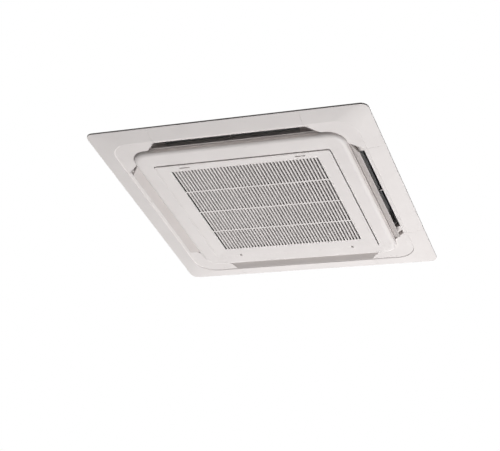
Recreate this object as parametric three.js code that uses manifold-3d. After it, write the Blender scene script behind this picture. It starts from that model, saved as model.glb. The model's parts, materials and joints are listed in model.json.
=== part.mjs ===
// Ceiling cassette air conditioner: a square decoration panel under a recessed steel cabinet.
// Millimetres, +Z up. The origin is the centre of the ceiling plane, where the panel's rim meets
// the ceiling: the panel hangs below z = 0 and the cabinet stands above it.
// The four sides are called near (-Y), right (+X), far (+Y) and left (-X).
import * as THREE from 'three';
import { mergeVertices } from 'three/addons/utils/BufferGeometryUtils.js';
import Module from 'manifold-3d';

const wasm = await Module();
wasm.setup();

// ---- sizes of the decoration panel, from its rim inwards ----
const panelSize = 950; // over the rim, both ways
const panelCornerRadius = 25;
const panelWall = 2.5; // moulded wall
const rimWidth = 5; // flat strip that lies against the ceiling
const rimHeight = 5; // side of the rim
const rimEase = 1; // small bevel under the rim
const bandWidth = 58; // sloping outer band
const bandDrop = 10.5;
const stepWidth = 1.5; // small step between the band and the ring with the outlets
const stepHeight = 2.5;
const ringCornerRadius = 72;
const outletMargin = 11.5; // flat ring outside the outlets
const outletWidth = 40;
const outletLength = 592; // long inner side; the ends are mitred at 45 degrees
const ductWall = 2; // walls that stand round each outlet
const ductRise = 2; // how far the walls stand above the ceiling plane
const ductFlange = 8; // seat of the foam seals
const ductLip = 8; // lips round the through openings, inside the seals, above that seat
const ductLength = 464; // the through opening; the mitred ends beyond it are closed
const ductEndPlate = 3.5;
const ductRibThickness = 3; // rib across the middle of each outlet
const ductRibDepth = 3.5;
const platformDrop = 13; // raised square round the intake grille
const platformCornerRadius = 57;
const platformEdgeWidth = 16; // rounded edge of the platform
const platformEdgeHeight = 11;
const seatThickness = 2.5; // plate above each corner cover
const pegWidth = 6; // snap pegs of the corner covers
const pegInset = 34; // from the rim
const pegSpacing = 60; // from the end of the outlet

// ---- intake grille ----
const grilleWidth = 608; // along X
const grilleNear = 290; // from the centre to its near edge
const grilleFar = 304; // from the centre to its far edge
const grilleCornerRadius = 9;
const grilleGap = 2.5; // between the grille and its opening
const grilleProud = 2.5; // how far it stands below the platform
const grillePlate = 2;
const grilleEdgeBevel = 1.2;
const dishDepth = 1.4; // the slot field lies a little higher than the grille's rim
const dishMargin = 8; // flat rim before the dish begins
const slotCount = 45;
const slotPitch = 11.4;
const slotWidth = 6.2;
const slotRows = 4;
const slotLength = 122.5;
const rowRib = 6; // ribs between the rows of slots
const fieldMargin = 7; // closed strip round the slots
const slatDepth = 7;
const stiffenerInset = 3.2; // upstand round the grille's back
const stiffenerWall = 2.2;
const stiffenerHeight = 11;
const grilleRelief = 0.2; // how far the recesses on the back run into the plate

// ---- grille hinges and latches ----
const hingeSpacing = 420;
const hingeInset = 8; // from the grille's far edge to the axis
const hingePinRadius = 1.6;
const hingeWall = 1.6; // round the pin, in knuckles and ears
const hingeEarWidth = 6;
const hingeKnuckleWidth = 8;
const latchSpacing = 400;
const latchButtonWidth = 34;
const latchButtonLength = 8;
const latchTravel = 5;
const latchSetback = 7; // from the grille's near edge to the button
const latchFlange = 1.8; // plate behind the button
const latchLip = 2; // how far that plate overlaps the opening
const latchTongueWidth = 18;
const latchTongueThickness = 3;
const latchBite = 2; // how far the tongue reaches behind the panel's flange

// ---- air filter ----
const filterThickness = 5;
const filterBar = 10;
const filterRib = 2.4;
const filterRibCount = 5; // ribs each way inside the frame
const filterNet = 0.6;
const filterMargin = 9; // to the stiffener round it

// ---- air vanes ----
const vaneOpenAngle = 37; // how far the vanes stand open at rest
const vaneThickness = 3;
const vaneEdgeGap = 2.5; // round the closed vane
const vanePivotInset = 10.5; // from the outlet's inner side to the axis
const vanePivotRise = 6.5; // axis above the closed vane's lower face
const vanePinRadius = 2;
const vaneEarThickness = 3;
const vaneEarRadius = 3.8;
const vaneTaper = 3.5; // thin edges of the blade
const vaneMotorRadius = 10;
const vaneMotorLength = 15;
const vaneMotorOffset = 7; // the output shaft is off the motor's centre
const bushWall = 1;
const bushLength = 6;

// ---- cabinet ----
const cabinetHeight = 246;
const cabinetLift = 12; // lower edge above the ceiling plane
const cabinetWallSpace = 16; // outer wall of the ducts to the cabinet's outside
const cabinetChamfer = 95;
const sheet = 1.5;
const beadHeight = 3; // stamped beads on the top
const beadWidth = 18;
const beadLength = 230;
const linerThickness = 13;
const linerTop = 9;
const linerHoleRadius = 130;

// ---- drain pan, bell mouth, heat exchanger ----
const panHeight = 48;
const panFloor = 13;
const panDuctWall = 20; // between the trough and the outlets
const troughWidth = 60;
const troughWall = 12; // between the trough and the intake opening
const coilThickness = 40;
const coilCornerRadius = 95;
const coilHeight = 208;
const coilSupport = 4;
const finPitch = 40;
const finDepth = 2.2;
const coilOpening = 90; // open corner of the coil, from its outer face
const endPlate = 1.6;
const returnBendRadius = 4.8;
const returnBendSpan = 25;
const bellPlate = 3;
const bellPlateHeight = 28; // above the pan's underside
const bellLip = 2.5; // wall of the bell mouth
const bellRise = 34;
const bellFlare = 32;

// ---- turbo fan and its motor ----
const fanToCoil = 65;
const fanHeight = 88; // outlet height of the blades
const fanShroudRise = 46; // height of the shroud's curve
const fanInletStep = 46; // outer radius less inlet radius
const fanSkin = 2.5;
const fanRunningGap = 3.5; // bell mouth inside the fan's neck
const fanNeck = 10;
const bladeCount = 7;
const bladeThickness = 4;
const bladeSweep = 38;
const bladeInnerStep = 72; // outer radius less the blades' inner radius
const hubDepth = 67; // how deep the hub lies under the back plate
const hubRadius = 42;
const coneRadius = 128;
const hubBossRadius = 14;
const hubBossLength = 14;
const shaftRadius = 6;
const shaftNutRadius = 11;
const shaftNutHeight = 9;
const motorRadius = 62;
const motorHeight = 82;
const motorHubGap = 16; // hub to the motor's face
const motorBracketThickness = 2.5;
const motorArmReach = 108;
const motorArmWidth = 30;
const rubberRadius = 11;

// ---- hangers, pipes, pump, control box ----
const hangerWidth = 62;
const hangerReach = 38;
const hangerHeight = 48;
const hangerThickness = 2.5;
const hangerSlot = 12;
const hangerSlotDepth = 22;
const hangerLevel = 120; // above the cabinet's lower edge
const gasPipeRadius = 7.9;
const liquidPipeRadius = 4.8;
const pipeReach = 32; // how far the pipes stand out of the cabinet
const gasPipeLevel = 176;
const liquidPipeLevel = 208;
const pipeSpacing = 30;
const gasPipeInset = 36; // from the coil's outer face
const coverPlateWidth = 80;
const coverPlateHeight = 90;
const coverPlateLap = 12; // over the edge of the cabinet's window
const drainPipeRadius = 12.5;
const drainLevel = 186;
const pumpRadius = 27;
const pumpHeight = 54;
const pumpInset = 62; // from the cabinet's chamfer to the pump's axis
const floatRadius = 11;
const floatHeight = 16;
const floatTravel = 18;
const floatStemRadius = 3;
const controlBoxWidth = 54;
const controlBoxLength = 300;
const controlBoxHeight = 23;

const clearance = 0.3; // between pieces that touch
const seamGap = 0.5; // round the corner covers
const arcSteps = 4; // steps in a quarter turn of the large outlines
const roundSteps = 24; // steps round the fan and the bell mouth

// ---- worked-out levels and distances ----
const panelHalf = panelSize / 2;
const ringHalf = panelHalf - bandWidth;
const ringFlatHalf = ringHalf - stepWidth;
const outletOuter = ringFlatHalf - outletMargin;
const outletInner = outletOuter - outletWidth;
const platformHalf = outletInner;
const bandLevel = -rimHeight - bandDrop;
const ringLevel = bandLevel + stepHeight;
const ringTop = ringLevel + panelWall;
const platformLevel = ringLevel - platformDrop;
const grilleLevel = platformLevel - grilleProud;
const outletHalfLong = outletLength / 2;
const outletHalfShort = outletHalfLong - outletWidth;
const ductHalf = ductLength / 2;
const cabinetHalf = outletOuter + cabinetWallSpace;
const cabinetInner = cabinetHalf - sheet;
const linerInner = cabinetInner - clearance - linerThickness;
const cabinetTop = cabinetLift + cabinetHeight;
const panBottom = cabinetLift + clearance;
const panTop = panBottom + panHeight;
const troughOuter = outletInner - panDuctWall;
const troughInner = troughOuter - troughWidth;
const panOpening = troughInner - troughWall;
const coilOuter = troughOuter - (troughWidth - coilThickness) / 2;
const coilInner = coilOuter - coilThickness;
const coilBase = panBottom + panFloor + coilSupport;
const coilTop = coilBase + coilHeight;
const fanRadius = coilInner - fanToCoil;
const fanInlet = fanRadius - fanInletStep;
const bellLevel = panBottom + bellPlateHeight;
const bellTop = bellLevel + bellPlate + bellRise;
const neckLevel = bellTop - fanNeck;
const shroudTop = neckLevel + fanShroudRise;
const backLevel = shroudTop + fanHeight;
const hubLevel = backLevel - hubDepth;
const motorBase = hubLevel + fanSkin + motorHubGap;
const motorTop = motorBase + motorHeight;
const bracketLevel = motorTop + clearance;

// ---- making solids ----

// A closed geometry as a solid that can be joined and cut.
function solid(geometry) {
  const bare = geometry.clone();
  bare.deleteAttribute('normal');
  bare.deleteAttribute('uv');
  const merged = mergeVertices(bare, 1e-4);
  const mesh = new wasm.Mesh({
    numProp: 3,
    vertProperties: Float32Array.from(merged.attributes.position.array),
    triVerts: Uint32Array.from(merged.index.array),
  });
  return new wasm.Manifold(mesh);
}

function geometryOf(body) {
  const mesh = body.getMesh();
  const geometry = new THREE.BufferGeometry();
  const points = new Float32Array(mesh.numVert * 3);
  for (let i = 0; i < mesh.numVert; i += 1) {
    for (let k = 0; k < 3; k += 1) points[3 * i + k] = mesh.vertProperties[mesh.numProp * i + k];
  }
  geometry.setAttribute('position', new THREE.BufferAttribute(points, 3));
  geometry.setIndex(new THREE.BufferAttribute(Uint32Array.from(mesh.triVerts), 1));
  return geometry;
}

function join(...bodies) {
  return bodies.reduce((whole, body) => whole.add(body));
}

function cut(body, ...tools) {
  return tools.reduce((rest, tool) => rest.subtract(tool), body);
}

function moved(body, x, y, z) {
  return body.translate([x, y, z]);
}

// The same solid on one of the four sides: 0 near, 1 right, 2 far, 3 left.
function onSide(body, side) {
  return body.rotate([0, 0, side * 90]);
}

function outline(points) {
  const shape = new THREE.Shape();
  points.forEach(([x, y], i) => (i ? shape.lineTo(x, y) : shape.moveTo(x, y)));
  shape.closePath();
  return shape;
}

function roundedOutline(x0, y0, x1, y1, radius, Kind = THREE.Shape) {
  const shape = new Kind();
  shape.moveTo(x0 + radius, y0);
  shape.lineTo(x1 - radius, y0);
  shape.absarc(x1 - radius, y0 + radius, radius, -Math.PI / 2, 0, false);
  shape.lineTo(x1, y1 - radius);
  shape.absarc(x1 - radius, y1 - radius, radius, 0, Math.PI / 2, false);
  shape.lineTo(x0 + radius, y1);
  shape.absarc(x0 + radius, y1 - radius, radius, Math.PI / 2, Math.PI, false);
  shape.lineTo(x0, y0 + radius);
  shape.absarc(x0 + radius, y0 + radius, radius, Math.PI, Math.PI * 1.5, false);
  return shape;
}

function prism(shape, z0, z1, curveSegments = 6) {
  const geometry = new THREE.ExtrudeGeometry(shape, { depth: z1 - z0, bevelEnabled: false, curveSegments });
  geometry.translate(0, 0, z0);
  return solid(geometry);
}

function box(x0, y0, z0, x1, y1, z1) {
  const geometry = new THREE.BoxGeometry(x1 - x0, y1 - y0, z1 - z0);
  geometry.translate((x0 + x1) / 2, (y0 + y1) / 2, (z0 + z1) / 2);
  return solid(geometry);
}

// A round bar from z0 to z1 at x, y.
function rod(x, y, z0, z1, radius, steps = 12) {
  const geometry = new THREE.CylinderGeometry(radius, radius, z1 - z0, steps);
  geometry.rotateX(Math.PI / 2);
  geometry.translate(x, y, (z0 + z1) / 2);
  return solid(geometry);
}

// A round bar along X from x0 to x1 at y, z.
function rodX(x0, x1, y, z, radius, steps = 12) {
  const geometry = new THREE.CylinderGeometry(radius, radius, x1 - x0, steps);
  geometry.rotateZ(Math.PI / 2);
  geometry.translate((x0 + x1) / 2, y, z);
  return solid(geometry);
}

// A round bar along Y from y0 to y1 at x, z.
function rodY(y0, y1, x, z, radius, steps = 12) {
  return rodX(y0, y1, 0, 0, radius, steps).rotate([0, 0, 90]).translate([x, 0, z]);
}

// A profile of [radius, height] points turned round the Z axis.
function turned(profile, steps = roundSteps) {
  const points = profile.map(([r, z]) => new THREE.Vector2(r, z));
  const last = points[points.length - 1];
  if (points[0].x > 0 && !points[0].equals(last)) points.push(points[0].clone());
  const geometry = new THREE.LatheGeometry(points, steps);
  geometry.rotateX(Math.PI / 2);
  const body = solid(geometry);
  return body.volume() > 0 ? body : solid(flipped(geometry));
}

function flipped(geometry) {
  const index = Array.from(geometry.index.array);
  for (let i = 0; i < index.length; i += 3) [index[i + 1], index[i + 2]] = [index[i + 2], index[i + 1]];
  const turnedOver = geometry.clone();
  turnedOver.setIndex(index);
  return turnedOver;
}

// Corner points of a rounded rectangle, with the same count for every size.
function roundedLoop({ x0, y0, x1, y1, radius, z }) {
  const r = Math.max(radius, 0.05);
  const centres = [[x1 - r, y1 - r], [x0 + r, y1 - r], [x0 + r, y0 + r], [x1 - r, y0 + r]];
  const loop = [];
  centres.forEach(([cx, cy], quarter) => {
    for (let i = 0; i <= arcSteps; i += 1) {
      const angle = ((quarter + i / arcSteps) * Math.PI) / 2;
      loop.push([cx + r * Math.cos(angle), cy + r * Math.sin(angle), z]);
    }
  });
  return loop;
}

// A frame whose cross-section runs through the given rounded rectangles and back to the first.
function frameLoft(sections) {
  const loops = sections.map(roundedLoop);
  const count = loops[0].length;
  const index = [];
  loops.forEach((_, s) => {
    const next = (s + 1) % loops.length;
    for (let i = 0; i < count; i += 1) {
      const j = (i + 1) % count;
      index.push(s * count + i, s * count + j, next * count + j);
      index.push(s * count + i, next * count + j, next * count + i);
    }
  });
  const geometry = new THREE.BufferGeometry();
  geometry.setAttribute('position', new THREE.Float32BufferAttribute(loops.flat(2), 3));
  geometry.setIndex(index);
  const body = solid(geometry);
  return body.volume() > 0 ? body : solid(flipped(geometry));
}

function squareSection(half, radius, z) {
  return { x0: -half, y0: -half, x1: half, y1: half, radius, z };
}

// A flat square ring with rounded corners.
function squareRing(outer, outerRadius, inner, innerRadius, z0, z1) {
  return frameLoft([
    squareSection(outer, outerRadius, z0),
    squareSection(outer, outerRadius, z1),
    squareSection(inner, innerRadius, z1),
    squareSection(inner, innerRadius, z0),
  ]);
}

function squareBlock(half, radius, z0, z1) {
  return prism(roundedOutline(-half, -half, half, half, radius), z0, z1, arcSteps);
}

// The cabinet's outline: a square with cut corners.
function octagon(half) {
  const corner = cabinetHalf - cabinetChamfer - (cabinetHalf - half) * (Math.SQRT2 - 1);
  return outline([
    [half, -corner], [half, corner], [corner, half], [-corner, half],
    [-half, corner], [-half, -corner], [-corner, -half], [corner, -half],
  ]);
}

function octagonBlock(half, z0, z1) {
  return prism(octagon(half), z0, z1);
}

// A pipe of the given radius along a smooth path.
function pipe(points, radius, steps, sides = 12) {
  const curve = new THREE.CatmullRomCurve3(points.map((p) => new THREE.Vector3(...p)), false, 'centripetal');
  const section = new THREE.Shape();
  for (let i = 0; i < sides; i += 1) {
    const angle = (i / sides) * Math.PI * 2;
    const x = radius * Math.cos(angle);
    const y = radius * Math.sin(angle);
    if (i) section.lineTo(x, y);
    else section.moveTo(x, y);
  }
  section.closePath();
  return solid(new THREE.ExtrudeGeometry(section, { steps, bevelEnabled: false, extrudePath: curve }));
}

// ---- the scene graph ----
const unit = new THREE.Group();

const finishes = {
  whiteMoulding: { color: 0xe6e1de, roughness: 0.42, metalness: 0 },
  greyMoulding: { color: 0x8a8784, roughness: 0.6, metalness: 0 },
  blackMoulding: { color: 0x2b2b2c, roughness: 0.6, metalness: 0 },
  darkFoam: { color: 0x3a3a3b, roughness: 0.95, metalness: 0 },
  whiteFoam: { color: 0xeceded, roughness: 0.9, metalness: 0 },
  steel: { color: 0xb4b7b9, roughness: 0.4, metalness: 0.85 },
  aluminium: { color: 0xc8cbcd, roughness: 0.35, metalness: 0.9 },
  copper: { color: 0xb8714a, roughness: 0.3, metalness: 0.95 },
  brass: { color: 0xb89a55, roughness: 0.35, metalness: 0.9 },
  rubber: { color: 0x232323, roughness: 0.85, metalness: 0 },
  board: { color: 0x2f5b3c, roughness: 0.55, metalness: 0 },
};

function place(name, body, finish) {
  const mesh = new THREE.Mesh(geometryOf(body), new THREE.MeshStandardMaterial(finishes[finish]));
  mesh.name = name;
  unit.add(mesh);
  return mesh;
}

// ---- shapes shared by the panel and what fits in it ----

// An outlet seen on the near side: long side towards the centre, mitred ends.
function outletOutline(grow) {
  const inner = -(outletInner - grow);
  const outer = -(outletOuter + grow);
  const long = outletHalfLong + grow * (1 + Math.SQRT2);
  const short = outletHalfShort + grow * (Math.SQRT2 - 1);
  return outline([[-short, outer], [short, outer], [long, inner], [-long, inner]]);
}

// The ring in plan that a corner cover fills, at the corner between the right and the far side.
function cornerOutline(grow) {
  const seam = outletHalfShort + (ductWall + seamGap) * (Math.SQRT2 - 1) - grow;
  const bend = outletOuter + ductWall + seamGap - grow;
  const reach = panelHalf + 10;
  const back = bend - seam;
  return outline([
    [reach, seam], [bend, seam], [bend - back / 2, seam + back / 2],
    [seam + back / 2, bend - back / 2], [seam, bend], [seam, reach], [reach, reach],
  ]);
}

// The panel's skin from the rim to the platform, without any opening.
function panelSkin() {
  const outerSteps = 4; // in the platform's rounded edge
  const innerSteps = 2; // on its hidden side
  const sections = [
    squareSection(panelHalf, panelCornerRadius, 0),
    squareSection(panelHalf, panelCornerRadius, -rimHeight + rimEase),
    squareSection(panelHalf - rimEase, panelCornerRadius - rimEase, -rimHeight),
    squareSection(ringHalf, ringCornerRadius, bandLevel),
    squareSection(ringFlatHalf, ringCornerRadius - stepWidth, ringLevel),
    squareSection(platformHalf, platformCornerRadius, ringLevel),
  ];
  const wallEnd = platformLevel + platformEdgeHeight;
  const ease = (i, steps, shrink) => {
    const angle = (i / steps) * (Math.PI / 2);
    const inwards = (platformEdgeWidth - shrink) * (1 - Math.cos(angle)) + shrink;
    const down = (platformEdgeHeight - shrink) * Math.sin(angle);
    return squareSection(platformHalf - inwards, platformCornerRadius - inwards * 0.6, wallEnd - down);
  };
  for (let i = 0; i <= outerSteps; i += 1) sections.push(ease(i, outerSteps, 0));
  const opening = platformHalf / 2; // the grille's opening is cut wider than this
  sections.push(squareSection(opening, panelCornerRadius, platformLevel));
  sections.push(squareSection(opening, panelCornerRadius, platformLevel + panelWall));
  for (let i = innerSteps; i >= 0; i -= 1) sections.push(ease(i, innerSteps, panelWall));
  const collar = platformHalf - panelWall;
  const collarFlange = platformHalf - ductFlange;
  sections.push(squareSection(collar, platformCornerRadius - panelWall, ductRise - panelWall));
  sections.push(squareSection(collarFlange, platformCornerRadius - ductFlange, ductRise - panelWall));
  sections.push(squareSection(collarFlange, platformCornerRadius - ductFlange, ductRise));
  sections.push(squareSection(platformHalf, platformCornerRadius, ductRise));
  sections.push(squareSection(platformHalf, platformCornerRadius, ringTop));
  sections.push(squareSection(ringFlatHalf - 1, ringCornerRadius - stepWidth - 1, ringTop));
  sections.push(squareSection(ringHalf, ringCornerRadius, bandLevel + panelWall));
  sections.push(squareSection(panelHalf - rimWidth, panelCornerRadius - rimWidth, -rimHeight + panelWall));
  sections.push(squareSection(panelHalf - rimWidth, panelCornerRadius - rimWidth, 0));
  return frameLoft(sections);
}

const skin = panelSkin();
const outletCut = prism(outletOutline(0), platformLevel - 5, cabinetLift);
const grilleHalf = grilleWidth / 2;
const hingeY = grilleFar - hingeInset;
const hingeZ = grilleLevel + grillePlate + hingePinRadius + clearance + hingeWall;
const hingeBore = hingePinRadius + clearance;
const hingeOuter = hingeBore + hingeWall;
const hingeXs = [-hingeSpacing / 2, hingeSpacing / 2];
const latchXs = [-latchSpacing / 2, latchSpacing / 2];
const tongueBase = platformLevel + panelWall + clearance; // the tongues lie on the platform's skin
const pivotD = outletInner + vanePivotInset;
const pivotZ = ringLevel + vanePivotRise;
const motorZ = pivotZ + vaneMotorOffset;
const pinEnd = outletHalfLong - vanePivotInset + ductWall * Math.SQRT2 + 2;
const motorStart = pinEnd + vanePinRadius;
// Where the two snap pegs of the corner cover between the right and the far side stand.
const pegOut = panelHalf - pegInset;
const pegAlong = outletHalfShort + pegSpacing;
const pegPlaces = [[pegOut, pegAlong], [pegAlong, pegOut]];

function peg(x, y, z0, z1, grow) {
  const half = pegWidth / 2 + grow;
  return box(x - half, y - half, z0, x + half, y + half, z1);
}

function motorPocket(grow) {
  const r = vaneMotorRadius + grow;
  return box(
    motorStart - grow, -pivotD - r, motorZ - r,
    motorStart + vaneMotorLength + grow, -pivotD + r, motorZ + r,
  );
}

// ---- decoration panel ----
function decorationPanel() {
  const openingShape = roundedOutline(
    -grilleHalf - grilleGap, -grilleNear - grilleGap, grilleHalf + grilleGap, grilleFar + grilleGap,
    grilleCornerRadius + grilleGap,
  );
  const opening = prism(openingShape, grilleLevel - 5, ductRise - panelWall - 0.5);
  const flangeTop = platformLevel + panelWall + 11;
  const flangeSections = [0, panelWall].map((w) => ({
    x0: -grilleHalf - grilleGap - w, y0: -grilleNear - grilleGap - w,
    x1: grilleHalf + grilleGap + w, y1: grilleFar + grilleGap + w,
    radius: grilleCornerRadius + grilleGap + w,
  }));
  const flange = frameLoft([
    { ...flangeSections[1], z: platformLevel + 1 }, { ...flangeSections[1], z: flangeTop },
    { ...flangeSections[0], z: flangeTop }, { ...flangeSections[0], z: platformLevel + 1 },
  ]);
  let panel = cut(skin, opening).add(flange);
  const ductFlangeRing = squareRing(
    outletOuter + ductFlange, ringCornerRadius, outletOuter, ringCornerRadius - ductFlange,
    ductRise - panelWall, ductRise,
  );
  // corner seats above the covers
  const cover = prism(cornerOutline(seamGap), bandLevel - 5, -seatThickness);
  const seatRing = squareRing(
    panelHalf - rimWidth + 2, panelCornerRadius - rimWidth + 2, platformHalf - 1, platformCornerRadius - 1,
    -seatThickness, 0,
  );
  const seatArea = prism(cornerOutline(seamGap + 6), -seatThickness - 1, 1);
  const keep = squareBlock(platformHalf, platformCornerRadius, bandLevel - 20, ductRise + 1);
  const cornerCut = cut(cover, keep);
  const seat = seatRing.intersect(seatArea);
  for (let corner = 0; corner < 4; corner += 1) {
    panel = panel.subtract(onSide(cornerCut, corner)).add(onSide(seat, corner));
    pegPlaces.forEach(([x, y]) => {
      panel = panel.subtract(onSide(peg(x, y, -seatThickness - 2, 2, clearance), corner));
    });
  }
  panel = panel.add(ductFlangeRing);
  // outlets with their standing walls, their closed ends and the rib across the middle
  const walls = cut(
    prism(outletOutline(ductWall), ringLevel, ductRise),
    prism(outletOutline(0), ringLevel - 1, ductRise - ductEndPlate),
    box(-ductHalf, -outletOuter, ringLevel - 1, ductHalf, -outletInner, ductRise + 1),
    squareBlock(platformHalf - panelWall / 2, platformCornerRadius, ringLevel - 1, ductRise + 1),
  );
  const rib = box(
    -ductRibThickness / 2, -outletOuter - ductWall / 2, ductRise - ductRibDepth,
    ductRibThickness / 2, -outletInner + panelWall / 2, ductRise,
  );
  const lip = cut(
    box(
      -ductHalf - ductWall, -outletOuter - ductWall, ductRise - 0.5,
      ductHalf + ductWall, -outletInner + ductWall, ductRise + ductLip,
    ),
    box(-ductHalf, -outletOuter, ductRise - 1, ductHalf, -outletInner, ductRise + ductLip + 1),
  );
  const pinHole = rodX(-outletHalfLong, outletHalfLong, -pivotD, pivotZ, vanePinRadius + clearance);
  const bushHole = rodX(-outletHalfLong, -200, -pivotD, pivotZ, vanePinRadius + 2 * clearance + bushWall);
  for (let side = 0; side < 4; side += 1) {
    panel = panel.subtract(onSide(outletCut, side)).add(onSide(walls, side));
    panel = cut(panel, onSide(pinHole, side), onSide(bushHole, side), onSide(motorPocket(clearance), side));
    panel = join(panel, onSide(rib, side), onSide(lip, side));
  }
  // hinge ears on the far edge of the opening
  const wallY = grilleFar + grilleGap + panelWall / 2;
  hingeXs.forEach((x) => {
    const half = hingeEarWidth / 2;
    const arm = outline([
      [hingeY - 1.5, hingeZ], [hingeY + 1.5, hingeZ], [hingeY + 3, hingeZ + 4], [wallY, hingeZ + 4],
      [wallY, hingeZ + 10], [hingeY, hingeZ + 10], [hingeY - 2, hingeZ + 5],
    ]);
    const armBody = prism(arm, -half, half).rotate([90, 0, 0]).rotate([0, 0, 90]);
    const ear = armBody.add(rodX(-half, half, hingeY, hingeZ, hingeOuter));
    panel = panel.add(moved(ear, x, 0, 0));
    panel = panel.subtract(rodX(x - half - 1, x + half + 1, hingeY, hingeZ, hingeBore));
  });
  // slots behind which the latch tongues reach
  latchXs.forEach((x) => {
    const half = latchTongueWidth / 2 + 1;
    const wall = -grilleNear - grilleGap;
    panel = panel.subtract(box(
      x - half, wall - panelWall - 1, tongueBase - clearance,
      x + half, wall + 1, tongueBase + latchTongueThickness + 1,
    ));
  });
  return panel;
}

function cornerCover() {
  const area = prism(cornerOutline(0), bandLevel - 5, -seatThickness - clearance);
  const keep = squareBlock(
    platformHalf + seamGap, platformCornerRadius + seamGap, bandLevel - 20, ductRise + 1,
  );
  let cover = cut(skin.intersect(area), keep);
  const slope = bandDrop / (bandWidth - rimEase);
  const root = -rimHeight - pegInset * slope + panelWall / 2;
  pegPlaces.forEach(([x, y]) => {
    cover = cover.add(peg(x, y, root, -seatThickness / 3, 0));
  });
  return cover;
}

place('decoration_panel', decorationPanel(), 'whiteMoulding');
const cornerNames = ['far_right', 'far_left', 'near_left', 'near_right'];
cornerNames.forEach((name, corner) => {
  place(`corner_cover_${name}`, onSide(cornerCover(), corner), 'whiteMoulding');
});

// ---- foam seals between the panel and the cabinet ----
const sealTop = panBottom - clearance;
const sealBase = ductRise + clearance;
const sealSetback = ductWall + clearance; // behind the lips of the outlets
place('outer_seal', squareRing(
  outletOuter + ductFlange, ringCornerRadius, outletOuter + sealSetback,
  ringCornerRadius - ductFlange + sealSetback, sealBase, sealTop,
), 'darkFoam');
place('inner_seal', squareRing(
  outletInner - sealSetback, platformCornerRadius - sealSetback, outletInner - ductFlange,
  platformCornerRadius - ductFlange, sealBase, sealTop,
), 'darkFoam');

// ---- intake grille ----
const fieldHalfX = ((slotCount - 1) * slotPitch + slotWidth) / 2 + fieldMargin;
const fieldHalfY = (slotRows * slotLength + (slotRows - 1) * rowRib) / 2 + fieldMargin;

function intakeGrille() {
  const rect = (inset, z) => ({
    x0: -grilleHalf + inset, y0: -grilleNear + inset, x1: grilleHalf - inset, y1: grilleFar - inset,
    radius: Math.max(grilleCornerRadius - inset, 1), z,
  });
  const field = (shrink, z) => ({
    x0: -fieldHalfX + shrink, y0: -fieldHalfY + shrink, x1: fieldHalfX - shrink, y1: fieldHalfY - shrink,
    radius: 1, z,
  });
  const top = grilleLevel + grillePlate + dishDepth;
  const plate = frameLoft([
    rect(0, grilleLevel + grilleEdgeBevel), rect(grilleEdgeBevel, grilleLevel), rect(dishMargin, grilleLevel),
    field(0, grilleLevel + dishDepth), field(1, grilleLevel + dishDepth), field(1, top), field(0, top),
    rect(dishMargin, grilleLevel + grillePlate), rect(0, grilleLevel + grillePlate),
  ]);
  const z0 = grilleLevel + dishDepth;
  const z1 = z0 + slatDepth;
  const slots = [];
  for (let i = 0; i < slotCount; i += 1) {
    const x = (i - (slotCount - 1) / 2) * slotPitch;
    for (let row = 0; row < slotRows; row += 1) {
      const y = (row - (slotRows - 1) / 2) * (slotLength + rowRib);
      slots.push(box(
        x - slotWidth / 2, y - slotLength / 2, z0 - 1, x + slotWidth / 2, y + slotLength / 2, z1 + 1,
      ));
    }
  }
  const slats = box(-fieldHalfX, -fieldHalfY, z0, fieldHalfX, fieldHalfY, z1).subtract(wasm.Manifold.union(slots));
  const back = grilleLevel + grillePlate;
  const recess = back - grilleRelief;
  const stiffener = frameLoft([
    rect(stiffenerInset, back - 0.5), rect(stiffenerInset, back + stiffenerHeight),
    rect(stiffenerInset + stiffenerWall, back + stiffenerHeight), rect(stiffenerInset + stiffenerWall, back - 0.5),
  ]);
  let grille = join(plate, slats, stiffener);
  // the stiffener stops where the ears reach in, and the plate is notched round each ear
  const earSpace = hingeEarWidth / 2 + 1.2;
  hingeXs.forEach((x) => {
    const span = earSpace + hingeKnuckleWidth;
    grille = grille.subtract(box(x - span, hingeY - hingeOuter - 1, recess, x + span, grilleFar + 5, back + 40));
    [-1, 1].forEach((hand) => {
      const inside = x + hand * (hingeEarWidth / 2 + clearance);
      const outside = x + hand * (hingeEarWidth / 2 + clearance + hingeKnuckleWidth);
      const [a, b] = [Math.min(inside, outside), Math.max(inside, outside)];
      const knuckle = rodX(a, b, hingeY, hingeZ, hingeOuter);
      const foot = box(a, hingeY - hingeOuter, back - 0.5, b, hingeY + hingeOuter, hingeZ - hingePinRadius);
      grille = grille.add(knuckle).add(foot);
    });
    grille = grille.subtract(rodX(x - span - 5, x + span + 5, hingeY, hingeZ, hingeBore));
    grille = grille.subtract(box(
      x - earSpace, hingeY - hingeOuter - 0.6, grilleLevel - 1, x + earSpace, grilleFar + 5, back + 40,
    ));
  });
  // finger wells of the latches and the gaps for their tongues
  latchXs.forEach((x) => {
    const half = latchButtonWidth / 2 + seamGap;
    const y0 = -grilleNear + latchSetback - seamGap;
    const y1 = y0 + latchButtonLength + latchTravel + 2 * seamGap;
    grille = grille.subtract(box(x - half, y0, grilleLevel - 1, x + half, y1, back + dishDepth + 1));
    const reach = half + latchLip + clearance;
    grille = grille.subtract(box(
      x - reach, y0 - latchLip - clearance, top, x + reach, y1 + latchTravel + clearance, back + slatDepth,
    ));
    const tongue = latchTongueWidth / 2 + clearance;
    grille = grille.subtract(box(
      x - tongue, -grilleNear - 1, recess, x + tongue, y0, back + stiffenerHeight + 1,
    ));
  });
  return grille;
}

place('intake_grille', intakeGrille(), 'whiteMoulding');

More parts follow.
